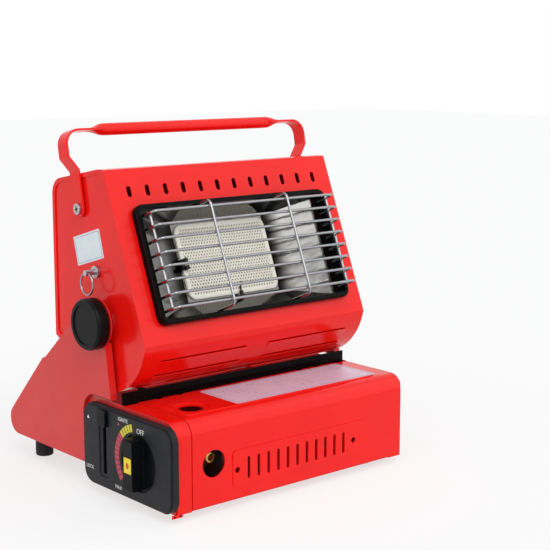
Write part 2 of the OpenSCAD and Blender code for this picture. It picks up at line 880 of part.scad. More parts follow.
// Side view of the head about the tilt axis, set in by a distance. The outline is cut down to
// the nose's arc in front and to the round corner between top and back.
module head_outline(inset) {
    f = face_d - inset;
    n = nose_r - inset;
    b = back_d - inset;
    r = back_r - inset;
    z = top_z - inset;
    face_end = [-f * cos(lean) + (z - f * sin(lean)) * tan(lean), z];
    nose_rear = [nose_back, -sqrt(n * n - nose_back * nose_back)];
    back_end = [b, back_low + inset];
    chord = (back_end - nose_rear) / norm(back_end - nose_rear);
    c = [b - r, slope_z(b - r, inset) - r / cos(top_slope)];
    difference() {
        polygon([
            face_end, [slope_y, z], [b, slope_z(b, inset)], back_end,
            nose_rear + (nose_rear - back_end) * 1.4, lean_pt(-f, -2 * nose_r)
        ]);
        difference() {
            polygon([
                [0, 0], 3 * (nose_rear + 6 * chord), [-big / 2, -big / 2], 3 * lean_pt(-f, -20)
            ]);
            circle(r = n);
        }
        difference() {
            polygon([
                c, c + 3 * r * [sin(top_slope), cos(top_slope)], c + [4 * r, 3 * r],
                c + [4 * r, 0]
            ]);
            translate(c) circle(r = r);
        }
    }
}

// Extrudes the head's side view between two distances along X.
module head_along(x0, x1) {
    pivot_frame() along_x(x0, x1) children();
}

vent_w = 4.6;
vent_h = 10.2;
vent_z = face_top - 20.6;

module vent_cuts() {
    pitch = vent_span / (vent_n - 1);
    for (i = [0 : vent_n - 1]) translate([-vent_span / 2 + i * pitch, -face_d + 4, vent_z])
        rotate([90, 0, 0]) linear_extrude(8)
            round_rect(-vent_w / 2, -vent_h / 2, vent_w / 2, vent_h / 2, vent_w / 2 - eps);
}

louvre_at = [61.5, 44.8, 27];
louvre_x = 12.5;
louvre_h = 2;

// Air slots high in the back wall.
module back_vents() {
    for (i = [-4 : 4]) translate([i * 22, back_d - 4, 70]) rotate([-90, 0, 0]) linear_extrude(8)
        round_rect(-2.5, -12, 2.5, 12, 2.4);
}

hose_slot = 8;
hood_l = 9;
hood_t = 0.8;
hood_root = 0.8;
louvre_gap = 0.6;

// Hoods pressed out of the nose in two groups, at angles forward of straight down, set in by a
// distance and drawn out above their lips by another.
module louvre_hoods(inset, above) {
    lip = -louvre_h / 2 - above;
    for (a = louvre_at, s = [0, 1]) mirror([s, 0, 0]) rotate([-a, 0, 0])
        along_x(louvre_x + inset, louvre_x + louvre_l - inset) polygon([
            [hood_l, inset + sheet - nose_r], [hood_l - 2 * inset, inset + hood_root - nose_r],
            [lip, inset - hood_out - nose_r], [lip, inset + sheet - nose_r]
        ]);
}

module head_casing() {
    color(red) place() difference() {
        union() {
            head_along(-head_in, head_in) difference() {
                head_outline(0);
                head_outline(sheet);
            }
            pivot_frame() louvre_hoods(0, 0);
        }
        // slot below the head in which the hose swings, from the nose to the back wall
        head_along(hose_x - hose_slot, hose_x + hose_slot) polygon([
            [0, 0], -big / 4 * [sin(nose_end), cos(nose_end)], [back_d - sheet, -big / 4],
            [back_d - sheet, back_low + 20]
        ]);
        head_frame() {
            vent_cuts();
            translate([0, -face_d + 6, 0]) rotate([90, 0, 0]) linear_extrude(12)
                window_outline(spigot_in);
        }
        pivot_frame() {
            louvre_hoods(hood_t, louvre_gap);
            back_vents();
        }
    }
}

rim_w = 4;
rim_front = 9;
rim_h = sheet;
bush_r = 6;
bush_collar = 3;
bush_gap = 0.2;
rivet_r = 3;
lock_bush_r = 4;

// A side plate of the head: a flat panel with a rim standing around it.
module head_side() {
    difference() {
        head_along(-head_x, -head_in) head_outline(0);
        head_along(-head_x - 1, -head_x + rim_h) intersection() {
            head_outline(rim_w);
            rotate([0, 0, -lean]) translate([-face_d + rim_front, -big / 2]) square([big, big]);
        }
        pivot_frame() {
            rod_x(-head_x - 1, -head_in + 1, bush_r + run);
            translate([0, handle_y, handle_z]) rod_x(-head_x - 1, -head_in + 1, rivet_r);
        }
    }
}

// The lock pin's own frame.
module lock_frame() {
    pivot_frame() translate([0, lock_y, lock_z]) children();
}

module head_left_side() {
    color(red) place() difference() {
        head_side();
        lock_frame() rod_x(-head_x - 1, -head_in + 1, lock_bush_r);
    }
}

module head_right_side() {
    color(red) place() mirror([1, 0, 0]) head_side();
}

bezel_back = 6;
spigot_in = 2;

// Outline of the window frame in the face's plane, set in by a distance.
module window_outline(inset) {
    round_rect(-window_w / 2 + inset, window_z - window_h / 2 + inset,
        window_w / 2 - inset, window_z + window_h / 2 - inset, window_r - inset);
}

module window_bezel() {
    color(black) place() head_frame() translate([0, -face_d, 0]) rotate([90, 0, 0]) difference() {
        union() {
            linear_extrude(bezel_out - 1.5) window_outline(0);
            linear_extrude(bezel_out) window_outline(1);
            translate([0, 0, -bezel_back]) linear_extrude(bezel_back + eps)
                window_outline(spigot_in + run);
        }
        translate([0, 0, -bezel_back - 1]) linear_extrude(bezel_back + bezel_out + 2)
            window_outline(bezel_band);
    }
}

// Half size of the reflector's mouth, which lies just behind the window frame.
mouth_x = window_w / 2 - bezel_band;
mouth_z = window_h / 2 - bezel_band;
mouth_y = -face_d + bezel_back + seat;
plaque_y = -face_d + plaque_in;
frame_y = plaque_y + 2;
throat_x = plaque_w / 2 + 5;
throat_z = plaque_h / 2 + 2;
funnel_t = 0.8;
thin = 0.2;

// Flat funnel between the mouth and the plaque, set in by a distance. Its side walls lie so flat
// that they are set in three times as far, to be as thick as the others.
module funnel_solid(inset) {
    side = 3 * inset;
    hull() {
        translate([-mouth_x + side, mouth_y, window_z - mouth_z + inset])
            cube([2 * (mouth_x - side), thin, 2 * (mouth_z - inset)]);
        translate([-throat_x + side, frame_y - seat - thin, plaque_z - throat_z + inset])
            cube([2 * (throat_x - side), thin, 2 * (throat_z - inset)]);
    }
}

module reflector() {
    color(steel) place() head_frame() difference() {
        funnel_solid(0);
        translate([0, -seat, 0]) funnel_solid(funnel_t);
        translate([0, seat, 0]) funnel_solid(funnel_t);
        translate([electrode_x, electrode_y, electrode_low - 5])
            cylinder(h = 15, r = electrode_r + run);
    }
}

module plaque_outline(grow) {
    w = plaque_w / 2 + grow;
    h = plaque_h / 2 + grow;
    round_rect(-w, -h, w, h, plaque_r + grow);
}

plaque_r = 8;

module ceramic_plaque() {
    color(cream) place() head_frame() translate([0, plaque_y, plaque_z]) rotate([-90, 0, 0])
        linear_extrude(plaque_t) plaque_outline(0);
}

module plaque_frame() {
    color(steel) place() head_frame() translate([0, frame_y, plaque_z]) rotate([-90, 0, 0])
        linear_extrude(sheet) difference() {
            round_rect(-plaque_w / 2 - 8, -plaque_h / 2 - 8, plaque_w / 2 + 8, plaque_h / 2 + 8, 4);
            plaque_outline(run);
        }
}

burner_y = frame_y + sheet;
burner_back = -tube_r - 1.5;
burner_rim = 6;
burner_w = plaque_w + 2 * burner_rim;
burner_h = plaque_h + 2 * burner_rim;
tube_z = plaque_z - 12;

// Shallow pressed box behind the plaque, which spreads the gas over it.
module burner_box() {
    d = burner_back - burner_y;
    color(dark_steel) place() head_frame() difference() {
        translate([-burner_w / 2, burner_y, plaque_z - burner_h / 2]) cube([burner_w, d, burner_h]);
        translate([-burner_w / 2 + sheet, burner_y - 1, plaque_z - burner_h / 2 + sheet])
            cube([burner_w - 2 * sheet, d + 1 - sheet, burner_h - 2 * sheet]);
        translate([0, 0, tube_z]) rod_y(burner_y, 0, tube_r + run);
    }
}

tube_t = 1;
jet_gap = 7;

// Mixing tube: open mouth on the tilt axis, then up behind the burner and forward into it.
module mixing_tube() {
    color(steel) place() head_frame() difference() {
        union() {
            rod_x(hose_end + jet_gap, 0, tube_r);
            sphere(r = tube_r);
            cylinder(h = tube_z, r = tube_r);
            translate([0, 0, tube_z]) {
                sphere(r = tube_r);
                rod_y(burner_back - 2, 0, tube_r);
            }
        }
        rod_x(hose_end + jet_gap - 1, -4, tube_r - tube_t);
    }
}

// Jet on the end of the hose, held in the tube's mouth by a spider.
module gas_jet() {
    arm = tube_r - tube_t - 0.1;
    color(brass) place() head_frame() difference() {
        union() {
            rod_x(hose_end + seat, hose_end + jet_gap, hose_r + 1);
            rod_x(hose_end + jet_gap - eps, hose_end + 18, 3);
            for (a = [0, 60, 120]) rotate([a, 0, 0])
                translate([hose_end + jet_gap + 1, -1, -arm]) cube([3, 2, 2 * arm]);
        }
        rod_x(hose_end, hose_end + 19, 0.8);
    }
}

electrode_x = 4;
electrode_y = frame_y - 4.5;
electrode_r = 1.8;
electrode_low = plaque_z - throat_z - 9;

// Ceramic sleeve in a hole of the reflector, with a wire bent up in front of the plaque.
module spark_electrode() {
    color(cream) place() head_frame() translate([electrode_x, electrode_y, electrode_low]) {
        cylinder(h = 13, r = electrode_r);
        translate([0, 0, 12]) cylinder(h = 5, r = 0.8);
        translate([0, 0, 16]) rotate([0, 25, 0]) cylinder(h = 6, r = 0.7);
    }
}

// Two sensor tips that look out beside the plaque's left edge, on a bracket off its frame.
module thermocouple() {
    x = -plaque_w / 2 + 2;
    color(dark_steel) place() head_frame() {
        for (z = [-3.5, 3.5]) translate([x, 0, plaque_z - 2 + z])
            rod_y(plaque_y - 5, plaque_y - seat, 2.1);
        translate([x - 3.6, plaque_y - 1.5, plaque_z - 7]) cube([3.6, 1.2, 10]);
        translate([x - 3.6, plaque_y - 1.5, plaque_z - 7]) cube([1.2, 3.5, 10]);
    }
}

// ---- guard ----

guard_bend = 5;
leg_end = face_d + 1;
guard_half = window_w / 2 - bezel_band - wire_r - run;
guard_top = window_z + (wire_n - 1) * wire_pitch / 2;
upright_top = window_z + window_h / 2 - bezel_band - wire_r - run;
upright_low = window_z - window_h / 2 + bezel_band + wire_r + run;

// A quarter bend of wire about X or Z, from one straight to the next.
module wire_bend() {
    rotate_extrude(angle = 90) translate([guard_bend, 0]) circle(r = wire_r);
}

// One cross wire: straight across, then bent back at both ends into the window frame.
module cross_wire(z) {
    y = -face_d - wire_out;
    translate([0, y, z]) rod_x(-guard_half + guard_bend, guard_half - guard_bend, wire_r);
    both_sides() translate([guard_half - guard_bend, y + guard_bend, z]) {
        rotate([0, 0, -90]) wire_bend();
        translate([guard_bend, 0, 0]) rod_y(0, -leg_end - y - guard_bend, wire_r);
    }
}

// One upright in front of the cross wires, bent back into the window frame above and below.
module upright(x) {
    y = -face_d - wire_out - 2 * wire_r + 0.3;
    translate([x, y, upright_low + guard_bend])
        cylinder(h = upright_top - upright_low - 2 * guard_bend, r = wire_r);
    for (s = [0, 1]) translate([x, y + guard_bend, s == 1 ? upright_top : upright_low])
        mirror([0, 0, s]) {
            translate([0, 0, guard_bend]) rotate([0, 90, 180]) wire_bend();
            rod_y(0, -leg_end - y - guard_bend, wire_r);
        }
}

// A short upright welded inside the cross wires' ends.
module end_upright(x) {
    y = -face_d - 15.4;
    low = guard_top - (wire_n - 1) * wire_pitch - 1;
    translate([x, y, low]) cylinder(h = guard_top + 1 - low, r = wire_r);
}

module guard_grille() {
    color(steel) place() head_frame() {
        for (i = [0 : wire_n - 1]) cross_wire(guard_top - i * wire_pitch);
        for (s = [-1, 1]) {
            upright(s * upright_x);
            end_upright(s * (guard_half - 2 * wire_r + 0.3));
        }
    }
}

// ---- pivots and knobs ----

module pivot_bushes() {
    color(steel) place() both_sides() pivot_frame() difference() {
        union() {
            rod_x(-leg_in, -head_x - bush_gap, bush_r + bush_collar);
            rod_x(-head_x - seat, -head_in, bush_r);
            rod_x(-leg_x, -leg_in + eps, stud_r + 1.5);
        }
        rod_x(-leg_x - 1, -head_in + 1, stud_r + run);
    }
}

nut_t = 2.25 * stud_r;
nut_r = 2.25 * stud_r;

module pivot_nuts() {
    color(steel) place() both_sides() pivot_frame() difference() {
        translate([-head_in + seat, 0, 0]) rotate([0, 90, 0])
            cylinder(h = nut_t, r = nut_r, $fn = 6);
        rod_x(-head_in, -head_in + nut_t + 2, stud_r + run);
    }
}

knob_hole = 8;

// Half section of a tilt knob: rim with a round edge, dished face and a blind hole.
module knob_shape() {
    color(black) translate([-leg_x - washer_t, pivot_y, pivot_z]) rotate([0, -90, 0])
        rotate_extrude() difference() {
            union() {
                square([knob_r - 1.5, knob_t]);
                translate([0, 1.5]) square([knob_r, knob_t - 4.5]);
                translate([knob_r - 1.5, 1.5]) circle(r = 1.5);
                translate([knob_r - 3, knob_t - 3]) circle(r = 3);
            }
            translate([-1, knob_t - 1]) square([knob_r - 4, 2]);
            translate([-1, -1]) square([1 + stud_r, 1 + knob_hole]);
            translate([-10, -10]) square([10, 40]);
        }
}

module left_tilt_knob() {
    place() knob_shape();
}

module right_tilt_knob() {
    place() mirror([1, 0, 0]) knob_shape();
}

module stud_shape() {
    color(steel) pivot_frame()
        rod_x(-leg_x - washer_t - knob_hole, -head_in + nut_t + 1, stud_r);
}

module left_knob_stud() {
    place() stud_shape();
}

module right_knob_stud() {
    place() mirror([1, 0, 0]) stud_shape();
}

module knob_washers() {
    color(steel) place() both_sides() pivot_frame() difference() {
        rod_x(-leg_x - washer_t + run, -leg_x, 3 * stud_r);
        rod_x(-leg_x - washer_t - 1, -leg_x + 1, stud_r + run);
    }
}

// ---- lock pin ----

lock_flange_t = 2.2;
bush_l = 14;
spring_l = 10;
pin_head_r = 4.5;
pin_head_t = 2;
ring_wire = 0.9;
eye_r = 1.35;
eye_x = -head_x - lock_out + 2.2;

module lock_bush() {
    color(steel) place() lock_frame() difference() {
        union() {
            rod_x(-head_x - lock_flange_t, -head_x + rim_h, lock_bush_r + 1.5);
            rod_x(-head_x, -head_in + bush_l, lock_bush_r);
        }
        rod_x(-head_x - lock_flange_t - 1, -head_in + bush_l + 1, lock_r + run);
    }
}

module lock_pin() {
    color(steel) place() lock_frame() difference() {
        union() {
            rod_x(-head_x - lock_out, -head_in + bush_l + spring_l, lock_r);
            translate([-head_in + bush_l + spring_l, 0, 0])
                rod_x(-eps, pin_head_t, pin_head_r);
        }
        translate([eye_x, 0, 0]) rod_y(-5, 5, eye_r);
    }
}

// Envelope of the coil spring between the bush and the pin's head.
module lock_spring() {
    color(steel) place() lock_frame() difference() {
        rod_x(-head_in + bush_l + eps, -head_in + bush_l + spring_l - 2 * eps, 3.9);
        rod_x(-head_in + bush_l - 1, -head_in + bush_l + spring_l + 1, lock_r + 0.3);
    }
}

// Ring through the pin's eye, hanging flat beside the head.
module pull_ring() {
    r = ring_r - ring_wire;
    color(steel) place() lock_frame() translate([eye_x, 0, -r]) rotate([0, 90, 0])
        rotate_extrude() translate([r, 0]) circle(r = ring_wire);
}

// ---- handle ----

arm_in = head_x + seat;
arm_out = leg_x + 0.6;
jog_z0 = 34;
jog_z1 = 46;
strap_bend = 12;

// The handle in its own frame: origin on its pivots, Z towards the grip.
module handle_frame() {
    pivot_frame() translate([0, handle_y, handle_z]) rotate([-handle_lean, 0, 0]) children();
}

// One arm of the strap: lower straight, jog outward, upper straight and round corner.
module strap_arm() {
    t = strap_t;
    translate([-arm_in - t, -strap_w / 2, 0]) cube([t, strap_w, jog_z0]);
    rod_x(-arm_in - t, -arm_in, strap_w / 2);
    translate([0, strap_w / 2, 0]) rotate([90, 0, 0]) linear_extrude(strap_w) polygon([
        [-arm_in, jog_z0 - 3], [-arm_in, jog_z0], [-arm_out, jog_z1], [-arm_out, jog_z1 + 3],
        [-arm_out - t, jog_z1 + 3], [-arm_out - t, jog_z1 - 1], [-arm_in - t, jog_z0 - 1],
        [-arm_in - t, jog_z0 - 3]
    ]);
    translate([-arm_out - t, -strap_w / 2, jog_z1])
        cube([t, strap_w, handle_h - strap_bend - jog_z1]);
    translate([-arm_out + strap_bend, strap_w / 2, handle_h - strap_bend]) rotate([90, 0, 0])
        rotate([0, 0, 90]) rotate_extrude(angle = 90) translate([strap_bend, 0])
            square([t, strap_w]);
}

module handle_strap() {
    color(red) place() handle_frame() difference() {
        union() {
            both_sides() strap_arm();
            translate([-arm_out + strap_bend, -core_w / 2, handle_h])
                cube([2 * (arm_out - strap_bend), core_w, strap_t]);
            both_sides() translate([grip_l, -strap_w / 2, handle_h])
                cube([arm_out - strap_bend - grip_l, strap_w, strap_t]);
        }
        rod_x(-big / 2, big / 2, rivet_r + run);
    }
}

grip_l = 96;
grip_end = 3;
grip_slit = 1.2;
core_w = 2 * grip_r - 3;

// Rolled grip around the narrow top of the strap, with its seam below.
module handle_grip() {
    color(red) place() handle_frame() translate([0, 0, handle_h + strap_t / 2]) difference() {
        union() {
            rod_x(-grip_l + grip_end, grip_l - grip_end, grip_r);
            both_sides() translate([grip_l - grip_end, 0, 0]) rotate([0, 90, 0])
                cylinder(h = grip_end, r1 = grip_r, r2 = grip_r - 1);
        }
        translate([-grip_l - 1, -core_w / 2, -strap_t / 2]) cube([2 * grip_l + 2, core_w, strap_t]);
        translate([-grip_l - 1, -grip_slit / 2, -grip_r - 1]) cube([2 * grip_l + 2, grip_slit, grip_r]);
    }
}

rivet_head_r = 5;
rivet_head_t = 2.2;

module handle_rivets() {
    out = head_x + seat + strap_t + 0.2;
    color(steel) place() both_sides() pivot_frame() translate([0, handle_y, handle_z]) {
        rod_x(-out, -head_in, rivet_r);
        rod_x(-out - rivet_head_t, -out, rivet_head_r);
        rod_x(-head_in, -head_in + rivet_head_t, rivet_head_r);
    }
}

base_pan();
left_end_cap();
right_end_cap();
left_leg();
right_leg();
rear_brace();
rear_feet();
front_feet();
foot_screws();
control_panel();
panel_screws();
heat_shield();
hinge_brackets();
hinge_pin();
regulator_body();
gas_inlet_nipple();
cartridge_collar();
cartridge_cradle();
piezo_igniter();
gas_hose();
pivot_bushes();
valve_spindle();
dial_knob();
dial_pointer();
cartridge_lever();
fuel_lid();
head_casing();
head_left_side();
head_right_side();
window_bezel();
guard_grille();
reflector();
ceramic_plaque();
plaque_frame();
burner_box();
mixing_tube();
gas_jet();
spark_electrode();
thermocouple();
pivot_nuts();
handle_rivets();
lock_bush();
lock_pin();
lock_spring();
pull_ring();
handle_strap();
handle_grip();
left_tilt_knob();
right_tilt_knob();
left_knob_stud();
right_knob_stud();
knob_washers();
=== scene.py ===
"""Looks of a portable gas heater in red enamel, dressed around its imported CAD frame."""

from __future__ import annotations

import logging
import math
from dataclasses import dataclass, field
from enum import Enum

import bmesh
import bpy
from mathutils import Matrix, Vector


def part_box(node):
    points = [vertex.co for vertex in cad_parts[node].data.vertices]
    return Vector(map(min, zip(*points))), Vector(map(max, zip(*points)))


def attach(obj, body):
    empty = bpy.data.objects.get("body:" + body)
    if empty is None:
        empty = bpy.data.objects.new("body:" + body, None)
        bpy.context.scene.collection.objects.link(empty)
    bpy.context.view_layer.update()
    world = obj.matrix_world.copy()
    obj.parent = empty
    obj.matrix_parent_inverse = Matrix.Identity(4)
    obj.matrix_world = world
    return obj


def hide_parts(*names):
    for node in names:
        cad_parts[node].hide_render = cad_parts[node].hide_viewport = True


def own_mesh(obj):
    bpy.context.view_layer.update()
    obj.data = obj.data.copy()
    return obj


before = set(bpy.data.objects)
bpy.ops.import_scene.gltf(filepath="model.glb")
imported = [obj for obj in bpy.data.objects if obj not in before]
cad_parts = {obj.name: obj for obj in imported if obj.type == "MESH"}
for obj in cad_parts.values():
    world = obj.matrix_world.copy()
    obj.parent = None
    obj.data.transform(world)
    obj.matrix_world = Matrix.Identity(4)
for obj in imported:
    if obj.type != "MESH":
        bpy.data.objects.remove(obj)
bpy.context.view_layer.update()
LOG = logging.getLogger("heater")

Pair = tuple[float, float]
Triple = tuple[float, float, float]
Tree = bpy.types.NodeTree
Socket = bpy.types.NodeSocket

MM = 0.001
# The drawing's own axes (X from the box's middle, Y from its front, Z from the ground, in mm)
# lie at this offset from the frame's origin.
DRAWING_OFFSET = Vector((0.95, -131.1, 0.0))
PIVOT = Vector((0.0, 109.0, 154.0))
LEAN = math.radians(22.0)
HANDLE_PIVOT = Vector((0.0, 143.7, 250.0))
HANDLE_LEAN = math.radians(10.8)
# Planes of the panel's front, and of the head's front in the head's own leaning axes.
PANEL_FACE_X = -139.9
FACE_Y = -51.4
DIAL_Y, DIAL_Z = 44.0, 44.0
# Radius of a painted or plated edge, and the turn in degrees from which an edge stays crisp.
USUAL_EDGE_MM = 0.3
CRISP_ANGLE = 34.0
# Triangles of a CAD node within this many degrees of one plane become one face.
FLAT_ANGLE = 0.4
WELD_REACH = 1e-6
FACE_WEIGHT = 60
# Vertices of a new piece this close, in millimetres, become one.
MERGE_MM = 1e-5
# Thickness of ink and labels, and the air under a label.
INK_T = 0.12
LABEL_LIFT = 0.02
# Height of a capital letter as a share of the font's size.
CAPITAL_SHARE = 0.72
# Vertex layer that holds the painted shade inside the plaque's pits.
PIT_SHADE_LAYER = "pit_shade"
WHITE = (1.0, 1.0, 1.0, 1.0)

DRAWING = Matrix.Scale(MM, 4) @ Matrix.Translation(DRAWING_OFFSET)
HEAD = DRAWING @ Matrix.Translation(PIVOT) @ Matrix.Rotation(-LEAN, 4, "X")
HANDLE = DRAWING @ Matrix.Translation(HANDLE_PIVOT) @ Matrix.Rotation(-HANDLE_LEAN, 4, "X")
# For an outline drawn along Y and Z that is extruded along X.
ACROSS = DRAWING @ Matrix(((0, 0, 1, 0), (1, 0, 0, 0), (0, 1, 0, 0), (0, 0, 0, 1)))


class Body(Enum):
    """Bodies of the frame that new pieces ride on."""

    BASE = "base"
    DIAL = "dial"
    LID = "lid"
    HEAD = "head"
    HANDLE = "handle"


class Slot(Enum):
    """Names of material slots, passed to each new piece but not used by it."""

    RED_PAINT = "red_paint"
    BLACK_PAINT = "black_paint"
    BLACK_PLASTIC = "black_plastic"
    YELLOW_PLASTIC = "yellow_plastic"
    CHROME_WIRE = "chrome_wire"
    PLATED_STEEL = "plated_steel"
    DARK_STEEL = "dark_steel"
    CERAMIC = "ceramic_tile"
    WHITE_CERAMIC = "white_ceramic"


def linear(hex_colour: str) -> tuple[float, float, float, float]:
    """Turns an sRGB hex colour into linear RGBA.

    Args:
        hex_colour: Six hex digits, with or without a leading #.

    Returns:
        The colour's linear red, green and blue, with alpha 1.
    """
    digits = hex_colour.lstrip("#")
    parts = [int(digits[i:i + 2], 16) / 255.0 for i in (0, 2, 4)]
    bent = [c / 12.92 if c <= 0.04045 else ((c + 0.055) / 1.055) ** 2.4 for c in parts]
    return (bent[0], bent[1], bent[2], 1.0)


def add_node(
    tree: Tree, kind: str, inputs: dict | None = None, **settings: object
) -> bpy.types.Node:
    """Adds a shader node with its settings, its values and its links.

    Args:
        tree: The material's node tree.
        kind: The node's type without "ShaderNode".
        inputs: Socket name or number to a value, or to the output socket that feeds it.
        **settings: Properties of the node itself.

    Returns:
        The new node.
    """
    node = tree.nodes.new("ShaderNode" + kind)
    for name, value in settings.items():
        setattr(node, name, value)
    for name, value in (inputs or {}).items():
        if isinstance(value, Socket):
            tree.links.new(value, node.inputs[name])
        else:
            node.inputs[name].default_value = value
    return node


def empty_tree(owner: bpy.types.Material | bpy.types.World) -> Tree:
    """Gives a material or a world a node tree of its own.

    Args:
        owner: The material or the world.

    Returns:
        The tree, still empty.
    """
    owner.use_nodes = True
    owner.node_tree.nodes.clear()
    return owner.node_tree


def add_object(name: str, data: bpy.types.ID) -> bpy.types.Object:
    """Makes an object and links it into the scene.

    Args:
        name: Its name.
        data: Its mesh, curve, camera or lamp.

    Returns:
        The new object.
    """
    obj = bpy.data.objects.new(name, data)
    bpy.context.scene.collection.objects.link(obj)
    return obj


def settle(mesh: bmesh.types.BMesh, name: str) -> bpy.types.Mesh:
    """Ends a mesh under construction.

    Args:
        mesh: The mesh, which is freed.
        name: Name of the lasting one.

    Returns:
        The lasting mesh.
    """
    data = bpy.data.meshes.new(name)
    mesh.to_mesh(data)
    mesh.free()
    return data


def verts_of(made: dict) -> list[bmesh.types.BMVert]:
    """Picks the vertices out of what an operator made."""
    return [part for part in made["geom"] if isinstance(part, bmesh.types.BMVert)]


# ---- finishes ----

# Bands of a noise node's values that are spread over the whole range of a pattern.
MOTTLE_BAND = (0.35, 0.65)
SMEAR_BAND = (0.3, 0.7)
LEAST_ROUGHNESS = 0.02
# A wave node's bands repeat after this length at a scale of 1.
WAVE_LENGTH = math.tau / 20.0


@dataclass(frozen=True)
class Finish:
    """One finish: a base colour that mottles into a second one, gloss, and a fine relief.

    Sizes are in millimetres on the object.
    """

    name: str
    colour: str
    mottle: str
    mottle_mm: float = 30.0
    mottle_share: float = 0.5
    metallic: float = 0.0
    roughness: float = 0.4
    roughness_spread: float = 0.06
    smear_mm: float = 18.0
    grain_mm: float = 1.2
    relief_mm: float = 0.01
    coat: float = 0.0
    coat_roughness: float = 0.05
    specular: float = 0.5

    def build(self) -> bpy.types.Material:
        """Makes the material.

        Returns:
            The finished material.
        """
        material = bpy.data.materials.new(self.name)
        material.diffuse_color = linear(self.colour)
        tree = empty_tree(material)
        output = add_node(tree, "OutputMaterial")
        shader = add_node(tree, "BsdfPrincipled", {
            "Metallic": self.metallic,
            "Specular IOR Level": self.specular,
            "Coat Weight": self.coat,
            "Coat Roughness": self.coat_roughness,
        })
        tree.links.new(shader.outputs["BSDF"], output.inputs["Surface"])
        self.paint(tree, shader)
        return material

    def paint(self, tree: Tree, shader: bpy.types.Node) -> None:
        """Feeds colour, roughness and relief into the shader.

        Args:
            tree: The material's node tree.
            shader: Its Principled node.
        """
        place = self.coordinates(tree)
        tree.links.new(self.colour_of(tree, place), shader.inputs["Base Color"])
        smear = add_node(tree, "TexNoise", {
            "Vector": place, "Scale": 1.0 / (self.smear_mm * MM), "Detail": 3.0,
        })
        low, high = self.roughness - self.roughness_spread, self.roughness + self.roughness_spread
        level = add_node(tree, "MapRange", {
            "Value": smear.outputs["Fac"], "From Min": SMEAR_BAND[0],
            "From Max": SMEAR_BAND[1], "To Min": max(low, LEAST_ROUGHNESS),
            "To Max": min(high, 1.0),
        })
        tree.links.new(level.outputs["Result"], shader.inputs["Roughness"])
        height = self.height_of(tree, place)
        if height is not None:
            bump = add_node(tree, "Bump", {
                "Strength": 1.0, "Distance": self.relief_mm * MM, "Height": height,
            })
            tree.links.new(bump.outputs["Normal"], shader.inputs["Normal"])

    def coordinates(self, tree: Tree) -> Socket:
        """Gives the place that the patterns are read at.

        Args:
            tree: The material's node tree.

        Returns:
            The vector socket.
        """
        return add_node(tree, "TexCoord").outputs["Object"]

    def colour_of(self, tree: Tree, place: Socket) -> Socket:
        """Builds the colour pattern.

        Args:
            tree: The material's node tree.
            place: Where the pattern is read.

        Returns:
            The colour socket.
        """
        cloud = add_node(tree, "TexNoise", {
            "Vector": place, "Scale": 1.0 / (self.mottle_mm * MM), "Detail": 4.0,
        })
        share = add_node(tree, "MapRange", {
            "Value": cloud.outputs["Fac"], "From Min": MOTTLE_BAND[0],
            "From Max": MOTTLE_BAND[1], "To Min": 0.0, "To Max": self.mottle_share,
        })
        return add_node(tree, "Mix", {
            0: share.outputs["Result"], 6: linear(self.colour), 7: linear(self.mottle),
        }, data_type="RGBA").outputs[2]

    def height_of(self, tree: Tree, place: Socket) -> Socket | None:
        """Builds the fine relief.

        Args:
            tree: The material's node tree.
            place: Where the pattern is read.

        Returns:
            The height socket, or None for a smooth finish.
        """
        if self.relief_mm <= 0.0:
            return None
        grain = add_node(tree, "TexNoise", {
            "Vector": place, "Scale": 1.0 / (self.grain_mm * MM), "Detail": 2.0,
        })
        return grain.outputs["Fac"]


@dataclass(frozen=True)
class Brushed(Finish):
    """Metal with fine lines drawn along one axis."""

    stretch: Triple = (0.04, 1.0, 1.0)

    def coordinates(self, tree: Tree) -> Socket:
        """Draws the pattern out along the brushing."""
        place = add_node(tree, "TexCoord").outputs["Object"]
        return add_node(tree, "Mapping", {
            "Vector": place, "Scale": self.stretch,
        }).outputs["Vector"]


@dataclass(frozen=True)
class DarkReflectionBrushed(Brushed):
    """Brushed metal with a painted dark reflection on both sides of the middle.

    The painted reflection starts edge_mm from the middle, and fades out from reflection_full_mm to
    reflection_end_mm.
    """

    painted_reflection: str = "171615"
    edge_mm: float = 53.0
    reflection_full_mm: float = 57.0
    reflection_end_mm: float = 73.0

    def colour_of(self, tree: Tree, place: Socket) -> Socket:
        """Fades the painted dark reflection out with the distance from the middle."""
        body = super().colour_of(tree, place)
        across = add_node(tree, "SeparateXYZ", {0: add_node(tree, "TexCoord").outputs["Object"]})
        away = add_node(tree, "Math", {0: across.outputs["X"]}, operation="ABSOLUTE")
        share = add_node(tree, "MapRange", {
            "Value": away.outputs[0], "From Min": self.reflection_full_mm * MM,
            "From Max": self.reflection_end_mm * MM, "To Min": 1.0, "To Max": 0.0,
        }, interpolation_type="SMOOTHSTEP")
        edge = add_node(tree, "Math", {
            0: away.outputs[0], 1: self.edge_mm * MM}, operation="GREATER_THAN")
        amount = add_node(tree, "Math", {
            0: share.outputs["Result"], 1: edge.outputs[0]}, operation="MULTIPLY")
        return add_node(tree, "Mix", {
            0: amount.outputs[0], 6: body, 7: linear(self.painted_reflection),
        }, data_type="RGBA").outputs[2]


@dataclass(frozen=True)
class Turned(Finish):
    """Metal turned on a lathe about Y, with fine rings a pitch apart."""

    ring_mm: float = 0.848
    wobble: float = 0.4

    def height_of(self, tree: Tree, place: Socket) -> Socket | None:
        """Rings along the turned length."""
        rings = add_node(tree, "TexWave", {
            "Vector": place, "Scale": WAVE_LENGTH / (self.ring_mm * MM),
            "Distortion": self.wobble,
        }, bands_direction="Y")
        return rings.outputs["Fac"]


